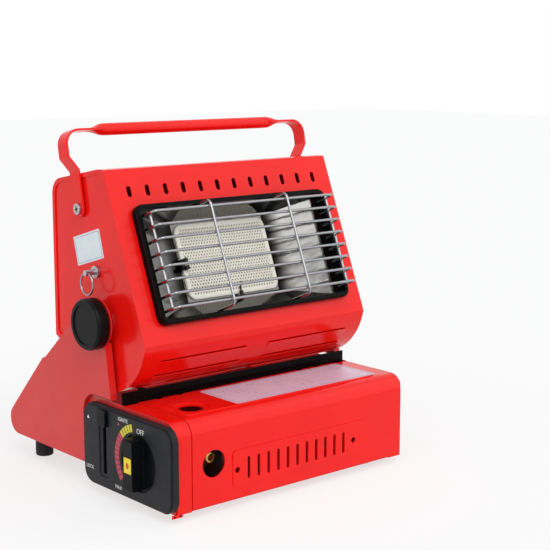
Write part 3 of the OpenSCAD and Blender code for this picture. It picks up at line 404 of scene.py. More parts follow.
@dataclass(frozen=True)
class Pitted(Finish):
    """Fired ceramic with open pores between its grains, and painted shade in its pits."""

    pore_mm: float = 0.7
    pore_reach: float = 0.35
    pore_share: float = 0.35
    pore: str = "B9B19C"
    # Colour of the painted shade in the pits.
    pit_shade: str = "8C8471"

    def colour_of(self, tree: Tree, place: Socket) -> Socket:
        """Darkens the pores, and paints shade into the pits."""
        body = super().colour_of(tree, place)
        pores = add_node(tree, "TexVoronoi", {
            "Vector": place, "Scale": 1.0 / (self.pore_mm * MM), "Randomness": 1.0,
        })
        depth = add_node(tree, "MapRange", {
            "Value": pores.outputs["Distance"], "From Min": 0.0,
            "From Max": self.pore_reach, "To Min": self.pore_share, "To Max": 0.0,
        })
        grainy = add_node(tree, "Mix", {
            0: depth.outputs["Result"], 6: body, 7: linear(self.pore),
        }, data_type="RGBA").outputs[2]
        # Painted shade of the pits, read from the vertex layer.
        pits = add_node(tree, "Attribute", attribute_name=PIT_SHADE_LAYER)
        return add_node(tree, "Mix", {
            0: pits.outputs["Fac"], 6: grainy, 7: linear(self.pit_shade),
        }, data_type="RGBA").outputs[2]


@dataclass(frozen=True)
class Ink(Finish):
    """Screen-printed ink, flat and even."""

    mottle_mm: float = 3.0
    roughness: float = 0.5
    grain_mm: float = 0.3


# Sprayed and baked enamel on steel: a deep even red with a wet gloss and a faint orange peel.
RED_ENAMEL = Finish(
    "red_enamel", "EC140D", "E0100A", mottle_mm=45.0, roughness=0.22, roughness_spread=0.04,
    grain_mm=2.2, coat=0.1, specular=0.22)
# The same enamel baked on the side plates, a touch more satin and pale.
RED_SATIN_ENAMEL = Finish(
    "red_satin_enamel", "D6221E", "CB1C18", mottle_mm=40.0, roughness=0.36,
    roughness_spread=0.05, grain_mm=1.8, relief_mm=0.012, coat=0.1, coat_roughness=0.2,
    specular=0.4)
# Matt red, darker than the enamel: painted shade under the nose, without the gloss.
RED_PAINTED_SHADE = Finish(
    "matt_red_painted_shade", "B5120D", "9C0E0A", mottle_mm=20.0, roughness=0.8, grain_mm=1.0,
    specular=0.0)
# Heat-proof gloss enamel: near black with sharp reflections.
BLACK_ENAMEL = Finish(
    "black_heatproof_enamel", "050506", "09090B", mottle_mm=20.0, roughness=0.2,
    roughness_spread=0.04, grain_mm=1.6, relief_mm=0.008, specular=0.07)
# Injection-moulded ABS with a spark-eroded grain: dark grey, soft highlights.
BLACK_ABS = Finish(
    "moulded_black_abs", "1E1F22", "26272A", mottle_mm=8.0, roughness=0.44,
    roughness_spread=0.07, grain_mm=0.6, relief_mm=0.02, specular=0.16)
# Phenolic resin pressed in a polished mould: black, smoother than the panel.
BLACK_PHENOLIC = Finish(
    "pressed_black_phenolic", "0B0C0D", "111214", mottle_mm=12.0, roughness=0.3, grain_mm=0.8,
    specular=0.1)
# Yellow plastic inlay, moulded glossy.
YELLOW_INLAY = Finish(
    "moulded_yellow_inlay", "F2DC2E", "EBCF24", mottle_mm=6.0, roughness=0.35, grain_mm=0.8,
    relief_mm=0.008, specular=0.3)
# Moulded nitrile rubber: matt black with a dusty bloom.
FOOT_RUBBER = Finish(
    "moulded_nitrile_rubber", "151515", "232322", mottle_mm=5.0, roughness=0.72,
    roughness_spread=0.08, grain_mm=0.5, relief_mm=0.03, specular=0.3)
# Extruded gas hose, smooth rubber with a slight sheen.
HOSE_RUBBER = Finish(
    "extruded_hose_rubber", "141414", "1D1D1C", mottle_mm=9.0, roughness=0.5, grain_mm=0.9,
    relief_mm=0.02, specular=0.35)
# Nickel-chrome plate on drawn wire: mirror bright.
CHROME = Finish(
    "chrome_plated_wire", "97999C", "898B8F", mottle_mm=10.0, metallic=1.0, roughness=0.12,
    roughness_spread=0.04, smear_mm=6.0, relief_mm=0.0)
# Bright zinc plate on screws and small turned parts: slightly clouded.
ZINC_PLATE = Finish(
    "bright_zinc_plate", "B9BBBE", "A6A8AA", mottle_mm=3.0, metallic=1.0, roughness=0.28,
    roughness_spread=0.07, smear_mm=4.0, grain_mm=0.4, relief_mm=0.006)
# Galvanised sheet for inner brackets: dull with a cloudy bloom.
GALVANISED = Finish(
    "galvanised_sheet", "9FA2A5", "8C9093", mottle_mm=14.0, metallic=1.0, roughness=0.45,
    roughness_spread=0.1, smear_mm=9.0, grain_mm=1.0)
# Polished stainless sheet, drawn lengthwise: slightly wavy, and nearly black beside the plaque
# with a painted dark reflection.
MIRROR_STEEL = DarkReflectionBrushed(
    "stainless_sheet_with_painted_reflection", "706F6D", "646362", mottle_mm=22.0, metallic=1.0,
    roughness=0.12, roughness_spread=0.05, smear_mm=16.0, grain_mm=14.0, relief_mm=0.25,
    stretch=(0.25, 1.0, 1.0))
# Oxidised steel that has been hot: dark, brown to blue-grey. The screws' crosses take it as
# painted shade of their recesses.
HOT_STEEL_AND_RECESS_SHADE = Finish(
    "heat_tinted_steel_and_recess_shade", "2E2B29", "23262C", mottle_mm=12.0, metallic=0.7, roughness=0.5,
    roughness_spread=0.1, grain_mm=0.9, relief_mm=0.02)
# Die-cast zinc alloy, as cast: grey and lightly pitted.
CAST_ALLOY = Finish(
    "die_cast_alloy", "8A8C8F", "76787B", mottle_mm=6.0, metallic=0.85, roughness=0.52,
    roughness_spread=0.08, grain_mm=0.7, relief_mm=0.04)
# Free-cutting brass, turned: yellow with fine tool rings.
TURNED_BRASS = Turned(
    "turned_brass", "D8B368", "C79C4E", mottle_mm=5.0, metallic=1.0, roughness=0.24,
    smear_mm=5.0, relief_mm=0.015)
# Cordierite burner tile: chalky cream with open pores.
CORDIERITE = Pitted(
    "fired_cordierite", "FBF8EC", "F3EEDF", mottle_mm=9.0, roughness=0.85, grain_mm=0.5,
    relief_mm=0.08, specular=0.25)
# Screen-printed inks on the panel and the labels.
WHITE_INK = Ink("white_screen_ink", "E8E8E6", "D9D9D6", roughness=0.55)
YELLOW_INK = Ink("yellow_screen_ink", "D9CE35", "C9BD2B")
RED_INK = Ink("red_screen_ink", "BC3A50", "A82E44")
ORANGE_INK = Ink("orange_screen_ink", "D8471A", "C63C14", mottle_mm=2.0)
GREY_INK = Ink("grey_screen_ink", "9A93A0", "8E8895")
# Bare vinyl labels: pale, smooth and slightly lilac, or white.
LILAC_VINYL = Finish(
    "lilac_vinyl_label", "D9C3D6", "CDB4CC", mottle_mm=7.0, roughness=0.3,
    roughness_spread=0.05, relief_mm=0.0)
WHITE_VINYL = Finish(
    "white_vinyl_label", "DCE6EC", "CFDBE3", mottle_mm=6.0, roughness=0.34,
    roughness_spread=0.05, relief_mm=0.015)


@dataclass
class PaintShop:
    """Makes each material once and hands it out by its finish."""

    made: dict[str, bpy.types.Material] = field(default_factory=dict)

    def mix(self, finish: Finish) -> bpy.types.Material:
        """Returns the finish's material, and makes it the first time."""
        if finish.name not in self.made:
            self.made[finish.name] = finish.build()
        return self.made[finish.name]

    def coat_node(self, node: str, finish: Finish, edge_mm: float) -> None:
        """Puts a finish on a CAD node.

        Args:
            node: The node's name.
            finish: What it is finished in.
            edge_mm: Radius that its sharp edges are broken to.
        """
        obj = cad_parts[node]
        obj.data.materials.clear()
        obj.data.materials.append(self.mix(finish))
        for polygon in obj.data.polygons:
            polygon.use_smooth = True
            polygon.material_index = 0
        soften(obj, edge_mm)
        LOG.info("node %s: %s", node, finish.name)


def soften(obj: bpy.types.Object, width_mm: float) -> None:
    """Breaks a CAD node's sharp edges with a fine round, as paint and plating do.

    Args:
        obj: The node's object, whose mesh itself stays as it is.
        width_mm: Radius of the rounds.
    """
    weld = obj.modifiers.new("weld", "WELD")
    weld.merge_threshold = WELD_REACH
    flat = obj.modifiers.new("flat", "DECIMATE")
    flat.decimate_type = "DISSOLVE"
    flat.angle_limit = math.radians(FLAT_ANGLE)
    if width_mm > 0.0:
        bevel = obj.modifiers.new("round", "BEVEL")
        bevel.width = width_mm * MM
        bevel.segments = 2
        bevel.limit_method = "ANGLE"
        bevel.angle_limit = math.radians(CRISP_ANGLE)
        bevel.harden_normals = False
    split = obj.modifiers.new("split", "EDGE_SPLIT")
    split.split_angle = math.radians(CRISP_ANGLE)
    split.use_edge_sharp = False
    even = obj.modifiers.new("even", "WEIGHTED_NORMAL")
    even.mode = "FACE_AREA"
    even.weight = FACE_WEIGHT
    even.keep_sharp = True


# ---- workpieces ----


class Workpiece:
    """One mesh under construction, in millimetres of its own drawing frame."""

    def __init__(self, name: str) -> None:
        """Starts an empty piece.

        Args:
            name: The piece's name.
        """
        self.name = name
        self.mesh = bmesh.new()

    def block(self, low: Triple, high: Triple, edge: float = 0.0) -> list[bmesh.types.BMVert]:
        """Adds a block between two corners, with rounded edges.

        Args:
            low: Lowest corner.
            high: Highest corner.
            edge: Radius of its edges.

        Returns:
            The block's vertices.
        """
        size = Vector(high) - Vector(low)
        centre = (Vector(high) + Vector(low)) / 2
        matrix = Matrix.Translation(centre) @ Matrix.Diagonal((*size, 1.0))
        verts = bmesh.ops.create_cube(self.mesh, size=1.0, matrix=matrix)["verts"]
        if edge > 0.0:
            edges = list({e for v in verts for e in v.link_edges})
            made = bmesh.ops.bevel(
                self.mesh, geom=edges, offset=edge, offset_type="OFFSET", segments=2,
                profile=0.5, affect="EDGES", material=-1, clamp_overlap=True)
            verts = list({v for f in made["faces"] for v in f.verts})
        return verts

    def tray(self, low: Triple, high: Triple, wall: float, depth: float) -> None:
        """Adds a shallow tray that is open on its low X side.

        Args:
            low: Lowest corner.
            high: Highest corner.
            wall: Thickness of its walls.
            depth: How deep it is.
        """
        verts = self.block(low, high)
        face = min(
            {f for v in verts for f in v.link_faces}, key=lambda f: f.calc_center_median().x)
        bmesh.ops.inset_region(self.mesh, faces=[face], thickness=wall)
        made = bmesh.ops.extrude_face_region(self.mesh, geom=[face])
        bmesh.ops.translate(self.mesh, vec=(depth, 0, 0), verts=verts_of(made))
        bmesh.ops.delete(self.mesh, geom=[face], context="FACES_ONLY")

    def rod(self, start: Vector, end: Vector, radius: float, sides: int = 20) -> None:
        """Adds a round rod between two points.

        Args:
            start: Centre of one end.
            end: Centre of the other end.
            radius: Its radius.
            sides: Facets around it.
        """
        axis = end - start
        turn = axis.to_track_quat("Z", "Y").to_matrix().to_4x4()
        bmesh.ops.create_cone(
            self.mesh, cap_ends=True, cap_tris=False, segments=sides, radius1=radius,
            radius2=radius, depth=axis.length, matrix=Matrix.Translation((start + end) / 2) @ turn)

    def disc(self, radius: float, sides: int = 20) -> None:
        """Adds a flat printed disc about the origin."""
        self.rod(Vector((0.0, 0.0, 0.0)), Vector((0.0, 0.0, INK_T)), radius, sides)

    def sleeve(self, rings: list[Matrix], sides: int = 32) -> None:
        """Skins a row of round or oval rings and closes both ends.

        Args:
            rings: The place of each unit circle, with its half sizes as its scale.
            sides: Facets around them.
        """
        made = [bmesh.ops.create_circle(
            self.mesh, cap_ends=False, segments=sides, radius=1.0, matrix=ring)["verts"]
            for ring in rings]
        for near, far in zip(made, made[1:]):
            pair = set(near) | set(far)
            edges = [e for e in self.mesh.edges if set(e.verts) <= pair]
            bmesh.ops.bridge_loops(self.mesh, edges=edges)
        for ring in (made[0], made[-1]):
            bmesh.ops.contextual_create(self.mesh, geom=ring)

    def plate(self, outline: list[Pair], thickness: float, base: float = 0.0) -> None:
        """Extrudes a flat outline along Z.

        Args:
            outline: Corners in order.
            thickness: How far it is extruded.
            base: Height of its lower face.
        """
        verts = [self.mesh.verts.new((x, y, base)) for x, y in outline]
        face = self.mesh.faces.new(verts)
        made = bmesh.ops.extrude_face_region(self.mesh, geom=[face])
        bmesh.ops.translate(self.mesh, vec=(0, 0, thickness), verts=verts_of(made))

    def lettering(self, word: str, height: float) -> None:
        """Adds a generic word, flat and upright about the piece's origin.

        Args:
            word: The word.
            height: Height of its capitals.
        """
        curve = bpy.data.curves.new("word", "FONT")
        curve.body = word
        curve.size = height / CAPITAL_SHARE
        curve.extrude = INK_T / 2
        curve.resolution_u = 4
        curve.align_x = "CENTER"
        curve.align_y = "CENTER"
        obj = add_object("word", curve)
        bpy.context.view_layer.update()
        data = bpy.data.meshes.new_from_object(obj)
        self.mesh.from_mesh(data)
        bpy.data.objects.remove(obj)
        bpy.data.curves.remove(curve)
        bpy.data.meshes.remove(data)

    def sector(self, inner: float, outer: float, start: float, end: float, steps: int = 4) -> None:
        """Adds a flat printed piece of a ring about the origin.

        Args:
            inner: Inner radius.
            outer: Outer radius.
            start: Where it starts, in degrees from straight up towards the left.
            end: Where it ends.
            steps: Steps along it.
        """
        turns = [math.radians(start + (end - start) * i / steps) for i in range(steps + 1)]
        ring = [(-outer * math.sin(a), outer * math.cos(a)) for a in turns]
        ring += [(-inner * math.sin(a), inner * math.cos(a)) for a in reversed(turns)]
        self.plate(ring, INK_T)

    def hoop(self, loops: list[tuple[list[Pair], float]]) -> None:
        """Joins closed outlines with equal counts of points into one closed ring.

        Args:
            loops: The outlines in order around the ring's section, each with its height.
        """
        rings = [[self.mesh.verts.new((x, y, z)) for x, y in line] for line, z in loops]
        for near, far in zip(rings, rings[1:] + rings[:1]):
            for k in range(len(near)):
                n = (k + 1) % len(near)
                self.mesh.faces.new((near[k], near[n], far[n], far[k]))

    def border(self, width: float, height: float, radius: float, line: float) -> None:
        """Adds a printed line around a rectangle with round corners.

        Args:
            width: Outer width.
            height: Outer height.
            radius: Outer radius of the corners.
            line: Width of the line.
        """
        outer = round_corners(width, height, radius)
        inner = round_corners(width - 2 * line, height - 2 * line, radius - line)
        self.hoop([(outer, 0.0), (outer, INK_T), (inner, INK_T), (inner, 0.0)])

    def nugget(self, place: Vector, size: Triple) -> None:
        """Adds a small rounded lump, such as a weld.

        Args:
            place: Its middle.
            size: Its half sizes.
        """
        matrix = Matrix.Translation(place) @ Matrix.Diagonal((*size, 1.0))
        bmesh.ops.create_icosphere(self.mesh, subdivisions=2, radius=1.0, matrix=matrix)

    def finish(
        self, body: Body, slot: Slot, material: bpy.types.Material,
        matrix: Matrix = DRAWING, smooth: float = CRISP_ANGLE
    ) -> bpy.types.Object:
        """Turns the piece into an object that rides on a body.

        Args:
            body: The body it moves with.
            slot: The record's slot for its finish; not used.
            material: Its material.
            matrix: From its drawing frame to the heater's frame.
            smooth: Edges sharper than this many degrees stay crisp.

        Returns:
            The new object, at the origin, with its place in its mesh.
        """
        bmesh.ops.remove_doubles(self.mesh, verts=self.mesh.verts, dist=MERGE_MM)
        self.mesh.transform(matrix)
        bmesh.ops.recalc_face_normals(self.mesh, faces=self.mesh.faces)
        for edge in self.mesh.edges:
            edge.smooth = len(edge.link_faces) == 2 and (
                edge.calc_face_angle(0.0) < math.radians(smooth))
        for face in self.mesh.faces:
            face.smooth = True
        data = settle(self.mesh, self.name)
        obj = add_object(self.name, data)
        data.materials.append(material)
        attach(obj, body.value)
        LOG.info("piece %s on %s: %d faces", self.name, body.value, len(data.polygons))
        return obj


def round_corners(width: float, height: float, radius: float, steps: int = 8) -> list[Pair]:
    """Gives the outline of a rectangle with round corners about the origin.

    Args:
        width: Its width.
        height: Its height.
        radius: Radius of its corners.
        steps: Steps in each corner.

    Returns:
        The outline's points in order.
    """
    points = []
    for turn, (sx, sy) in enumerate(((1, 1), (-1, 1), (-1, -1), (1, -1))):
        cx, cy = sx * (width / 2 - radius), sy * (height / 2 - radius)
        for i in range(steps + 1):
            a = math.pi / 2 * (turn + i / steps)
            points.append((cx + radius * math.cos(a), cy + radius * math.sin(a)))
    return points


def facing_left(x: float, y: float, z: float, turn: float = 0.0) -> Matrix:
    """Gives the place of flat work on a left-hand side, read with Z up.

    Args:
        x: The side's plane in the drawing.
        y: The work's middle along the drawing's Y.
        z: The work's middle above the ground.
        turn: Degrees that it is turned in its plane.

    Returns:
        The matrix from the work's plane to the heater's frame.
    """
    axes = Matrix(((0, 0, -1, 0), (-1, 0, 0, 0), (0, 1, 0, 0), (0, 0, 0, 1)))
    spin = Matrix.Rotation(math.radians(turn), 4, "Z")
    return DRAWING @ Matrix.Translation((x, y, z)) @ axes @ spin


# ---- sub-assemblies ----

Coats = tuple[tuple[Finish, tuple[str, ...]], ...]
Edges = tuple[tuple[float, tuple[str, ...]], ...]


@dataclass(frozen=True)
class Label:
    """A bare label with one printed line around it, in millimetres."""

    name: str
    vinyl: Finish
    size: Pair
    corner: float
    line_inset: float
    line_corner: float
    line_width: float


@dataclass(frozen=True)
class Word:
    """A generic word on the panel: its piece, its capitals' height, and its middle."""

    piece: str
    text: str
    height: float
    y: float
    z: float


@dataclass
class SubAssembly:
    """A group of CAD nodes and new pieces that are finished together.

    Its coats give the finish of each CAD node. Its edges, in millimetres, are for the nodes
    whose edges are rounder or crisper than usual.
    """

    shop: PaintShop
    coats: Coats = ()
    edges: Edges = ()

    def build(self) -> None:
        """Makes the group's own pieces."""

    def dress(self) -> None:
        """Finishes the group's nodes and makes its pieces."""
        edges = {node: edge for edge, nodes in self.edges for node in nodes}
        for finish, nodes in self.coats:
            for node in nodes:
                self.shop.coat_node(node, finish, edges.get(node, USUAL_EDGE_MM))
        self.build()

    def stick(self, label: Label, body: Body, place: Matrix) -> None:
        """Sticks a label on, and prints its line.

        Args:
            label: The label.
            body: The body that carries it.
            place: From the label's plane to the heater's frame.
        """
        width, height = label.size
        place = place @ Matrix.Translation((0.0, 0.0, LABEL_LIFT))
        sheet = Workpiece(label.name)
        sheet.plate(round_corners(width, height, label.corner), INK_T)
        sheet.finish(body, Slot.RED_PAINT, self.shop.mix(label.vinyl), place)
        line = Workpiece(label.name + "_border")
        line.border(
            width - 2 * label.line_inset, height - 2 * label.line_inset, label.line_corner,
            label.line_width)
        line.finish(
            body, Slot.RED_PAINT, self.shop.mix(GREY_INK),
            place @ Matrix.Translation((0.0, 0.0, INK_T)))


@dataclass
class FrontBox(SubAssembly):
    """The cartridge box: tray, end caps, lid, hinges and heat shield."""

    coats: Coats = (
        (RED_ENAMEL, ("base_pan", "left_end_cap", "right_end_cap", "fuel_lid", "hinge_brackets")),
        # Black on the heat shield paints the shade of the gap under the head.
        (ZINC_PLATE, ("hinge_pin", "foot_screws")), (BLACK_ENAMEL, ("heat_shield",)),
        (FOOT_RUBBER, ("front_feet",)))
    # Folded sheet keeps a visible round.
    edges: Edges = ((0.2, ("fuel_lid", "left_end_cap", "right_end_cap")),)
    label: Label = Label(
        "lid_label", LILAC_VINYL, (167.0, 54.5), corner=3.0, line_inset=2.0, line_corner=2.0,
        line_width=0.5)
    label_at: Triple = (28.5, 42.75, 86.8)
    # The folded tab at the lower left corner, and black discs that paint the shade in its two
    # holes.
    tab_low: Triple = (-136.8, -0.1, 5.6)
    tab_high: Triple = (-126.0, 1.1, 8.7)
    tab_edge: float = 0.3
    hole_shade_x: Pair = (-134.4, -128.2)
    hole_shade_y: Pair = (-0.2, 0.4)
    hole_shade_z: float = 7.1
    hole_shade_r: float = 0.9

    def build(self) -> None:
        """Makes the bare label on the lid and the folded tab at the corner."""
        self.stick(self.label, Body.LID, DRAWING @ Matrix.Translation(self.label_at))
        tab = Workpiece("corner_tab")
        tab.block(self.tab_low, self.tab_high, self.tab_edge)
        tab.finish(Body.BASE, Slot.RED_PAINT, self.shop.mix(RED_ENAMEL))
        # Black discs paint the shade inside the tab's two holes.
        hole_shades = Workpiece("corner_tab_hole_shade")
        for x in self.hole_shade_x:
            near, far = (Vector((x, y, self.hole_shade_z)) for y in self.hole_shade_y)
            hole_shades.rod(near, far, self.hole_shade_r)
        hole_shades.finish(Body.BASE, Slot.BLACK_PAINT, self.shop.mix(BLACK_ENAMEL))


@dataclass
class SidePlates(SubAssembly):
    """The two side plates with their brace and rear feet."""

    coats: Coats = (
        (RED_SATIN_ENAMEL, ("left_leg", "right_leg", "rear_brace")),
        (FOOT_RUBBER, ("rear_feet",)), (ZINC_PLATE, ("pivot_bushes", "knob_washers")))
    # Folded sheet keeps a visible round.
    edges: Edges = ((0.5, ("left_leg", "right_leg", "rear_brace")),)


@dataclass
class ControlPanel(SubAssembly):
    """The moulded panel with its dial, lever and printed scale."""

    coats: Coats = (
        (BLACK_ABS, ("control_panel",)), (ZINC_PLATE, ("panel_screws",)),
        (BLACK_PHENOLIC, ("dial_knob", "cartridge_lever")), (YELLOW_INLAY, ("dial_pointer",)),
        (TURNED_BRASS, ("valve_spindle",)))
    # Moulded parts are rounder than sheet.
    edges: Edges = (
        (0.8, ("control_panel", "dial_knob")), (0.6, ("cartridge_lever",)),
        (0.15, ("dial_pointer",)))
    # The printed scale: its middle, its radii, and where its colours start and end in degrees.
    scale_y: float = 46.0
    scale_in: float = 26.3
    scale_out: float = 32.8
    yellow_turn: Pair = (12.0, 48.0)
    yellow_bars: int = 5
    yellow_gap: float = 1.6
    red_turn: Pair = (48.8, 131.0)
    red_bars: int = 10
    red_gap: float = 1.0
    words: tuple[Word, ...] = (
        Word("panel_word_off", "OFF", 4.6, 40.0, 71.8),
        Word("panel_word_ignite", "IGNITE", 3.4, 65.8, 76.8),
        Word("panel_word_max", "MAX", 3.4, 74.0, 15.4),
        Word("panel_word_lock", "LOCK", 3.2, 118.6, 23.8))
    arrow_at: Pair = (120.0, 69.0)
    arrow_outline: tuple[Pair, ...] = ((-1.7, -1.4), (1.7, -1.4), (0.0, 1.8))
    spot_at: Pair = (72.4, 72.0)
    spot_r: float = 1.1
    dot_size: Pair = (4.2, 5.5)
    # Felt on the leg, and a cover behind the panel, close the lever's slot to the eye.
    felt_x: Pair = (-133.0, -132.25)
    felt_y: tuple[Pair, ...] = ((82.0, 93.4), (98.6, 112.0))
    felt_z: Pair = (14.0, 80.0)
    felt_edge: float = 0.2
    cover_low: Triple = (-130.65, 87.4, 16.0)
    cover_high: Triple = (-128.0, 104.6, 82.0)
    cover_wall: float = 0.9
    cover_depth: float = 1.9

    def build(self) -> None:
        """Prints the panel, closes the lever's slot and sets the dot in the dial's inlay."""
        self.scale(
            "panel_scale_low", YELLOW_INK, self.yellow_turn, self.yellow_bars, self.yellow_gap)
        self.scale("panel_scale_high", RED_INK, self.red_turn, self.red_bars, self.red_gap)
        for word in self.words:
            letters = Workpiece(word.piece)
            letters.lettering(word.text, word.height)
            self.print_flat(letters, Slot.WHITE_CERAMIC, WHITE_INK, word.y, word.z)
        arrow = Workpiece("panel_arrow")
        arrow.plate(list(self.arrow_outline), INK_T)
        self.print_flat(arrow, Slot.WHITE_CERAMIC, WHITE_INK, *self.arrow_at)
        spot = Workpiece("panel_spot")
        spot.disc(self.spot_r)
        self.print_flat(spot, Slot.RED_PAINT, RED_INK, *self.spot_at)
        self.lever_slot()
        dot = Workpiece("dial_dot")
        dot.disc(0.5, 32)
        dot.finish(
            Body.DIAL, Slot.YELLOW_PLASTIC, self.shop.mix(ORANGE_INK),
            facing_left(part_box("dial_pointer")[0][0] / MM - DRAWING_OFFSET.x, DIAL_Y, DIAL_Z)
            @ Matrix.Diagonal((*self.dot_size, 1.0, 1.0)))

    def lever_slot(self) -> None:
        """Lays the felt and sets the cover behind the lever's slot."""
        felt = Workpiece("slot_felt")
        (x0, x1), (z0, z1) = self.felt_x, self.felt_z
        for y0, y1 in self.felt_y:
            felt.block((x0, y0, z0), (x1, y1, z1), self.felt_edge)
        felt.finish(Body.BASE, Slot.BLACK_PLASTIC, self.shop.mix(FOOT_RUBBER))
        cover = Workpiece("slot_cover")
        cover.tray(self.cover_low, self.cover_high, self.cover_wall, self.cover_depth)
        cover.finish(Body.BASE, Slot.BLACK_PLASTIC, self.shop.mix(BLACK_ABS))

    def scale(self, name: str, ink: Finish, turn: Pair, count: int, gap: float) -> None:
        """Prints one colour of the scale as a row of short pieces.

        Args:
            name: The piece's name.
            ink: Its ink.
            turn: Where the row starts and ends, in degrees.
            count: How many pieces it has.
            gap: Space between two of them, in degrees.
        """
        row = Workpiece(name)
        step = (turn[1] - turn[0] + gap) / count
        for i in range(count):
            start = turn[0] + i * step
            row.sector(self.scale_in, self.scale_out, start, start + step - gap)
        self.print_flat(row, Slot.YELLOW_PLASTIC, ink, self.scale_y, DIAL_Z)

    def print_flat(self, piece: Workpiece, slot: Slot, ink: Finish, y: float, z: float) -> None:
        """Prints a flat piece on the panel's front.

        Args:
            piece: The piece, about its own origin.
            slot: The record's slot for its ink.
            ink: Its ink.
            y: Its middle along the drawing's Y.
            z: Its middle above the ground.
        """
        piece.finish(Body.BASE, slot, self.shop.mix(ink), facing_left(PANEL_FACE_X, y, z))


@dataclass
class GasTrain(SubAssembly):
    """Regulator, inlet, collar, cradle, igniter and hose inside the box."""

    coats: Coats = (
        (CAST_ALLOY, ("regulator_body",)), (TURNED_BRASS, ("gas_inlet_nipple", "gas_jet")),
        (GALVANISED, ("cartridge_collar", "cartridge_cradle")), (BLACK_ABS, ("piezo_igniter",)),
        (HOSE_RUBBER, ("gas_hose",)))


@dataclass
class TiltingHead(SubAssembly):
    """The head's shell, window frame and guard."""

    coats: Coats = (
        (RED_ENAMEL, ("head_casing", "head_left_side", "head_right_side")),
        (BLACK_ENAMEL, ("window_bezel",)), (CHROME, ("guard_grille",)),
        (ZINC_PLATE, ("pivot_nuts", "handle_rivets")))
    # Folded sheet keeps a visible round, and the window frame a wider one.
    edges: Edges = (
        (0.4, ("head_casing",)), (0.5, ("head_left_side", "head_right_side")),
        (0.9, ("window_bezel",)), (0.0, ("guard_grille",)))
    label: Label = Label(
        "side_label", WHITE_VINYL, (43.5, 26.0), corner=1.2, line_inset=1.5, line_corner=0.8,
        line_width=0.4)
    label_at: Triple = (-126.4, 134.5, 216.6)
    label_turn: float = 16.0
    # The crosses of the handle's screws, flat and dark as painted shade of their recesses: half
    # sizes of a bar, and how far they are turned.
    cross_x: float = 132.3
    cross_bar: Pair = (2.5, 0.6)
    cross_turn: float = 20.0
    # The guard's wires, and the depth and half sizes of the welds where others cross them.
    wire_top: float = 76.245
    wire_pitch: float = 12.07
    wire_count: int = 8
    upright_x: float = 44.0
    upright_depth: float = 26.1
    upright_weld: Triple = (1.5, 0.9, 1.5)
    end_x: float = 102.4
    end_depth: float = 15.4
    end_weld: Triple = (1.0, 1.5, 1.4)
    # The matt strip of painted shade on the nose's underside between the slots, along Y and Z, and
    # the way out of it.
    shade_x: tuple[Pair, ...] = ((-118.0, -108.0), (-28.0, 14.0), (94.0, 118.0))
    shade_line: tuple[Pair, ...] = (
        (75.4, 101.92), (76.0, 101.55), (77.0, 100.96), (78.0, 100.36), (79.0, 99.76),
        (80.0, 99.2), (82.0, 98.2), (84.0, 97.28))
    shade_out: Pair = (-0.5, -0.87)

    def build(self) -> None:
        """Makes the side label, the screws' crosses, the matt strip of painted shade and the
        guard's welds.
        """
        self.stick(self.label, Body.HEAD, facing_left(*self.label_at, self.label_turn))
        wide, thin = self.cross_bar
        # Each cross is a flat dark print that paints the shade of the screw's recess.
        for name, side in (("left_screw_cross", -1), ("right_screw_cross", 1)):
            cross = Workpiece(name)
            for x, y in ((wide, thin), (thin, wide)):
                cross.block((-x, -y, 0.0), (x, y, INK_T))
            flip = Matrix.Rotation(math.pi if side > 0 else 0.0, 4, "Y")
            place = facing_left(
                side * self.cross_x, HANDLE_PIVOT.y, HANDLE_PIVOT.z, self.cross_turn)
            cross.finish(Body.HEAD, Slot.DARK_STEEL, self.shop.mix(HOT_STEEL_AND_RECESS_SHADE), place @ flip)
        self.matt_strip()
        self.welds()

    def matt_strip(self) -> None:
        """Lays the matt strip of painted shade under the nose, in three lengths."""
        strip = Workpiece("nose_matt_shade_strip")
        out = Vector(self.shade_out) * INK_T
        outline = [tuple(Vector(p) + out) for p in self.shade_line]
        outline += [tuple(Vector(p) - out) for p in reversed(self.shade_line)]
        for x0, x1 in self.shade_x:
            strip.plate(outline, x1 - x0, x0)
        strip.finish(Body.HEAD, Slot.RED_PAINT, self.shop.mix(RED_PAINTED_SHADE), ACROSS)

    def welds(self) -> None:
        """Sets a weld wherever an upright or an end wire crosses the guard's wires."""
        welds = Workpiece("guard_welds")
        for i in range(self.wire_count):
            z = self.wire_top - i * self.wire_pitch
            for x, depth, size in (
                    (self.upright_x, self.upright_depth, self.upright_weld),
                    (self.end_x, self.end_depth, self.end_weld)):
                for side in (-1, 1):
                    welds.nugget(Vector((side * x, FACE_Y - depth, z)), size)
        welds.finish(Body.HEAD, Slot.CHROME_WIRE, self.shop.mix(CHROME), HEAD)


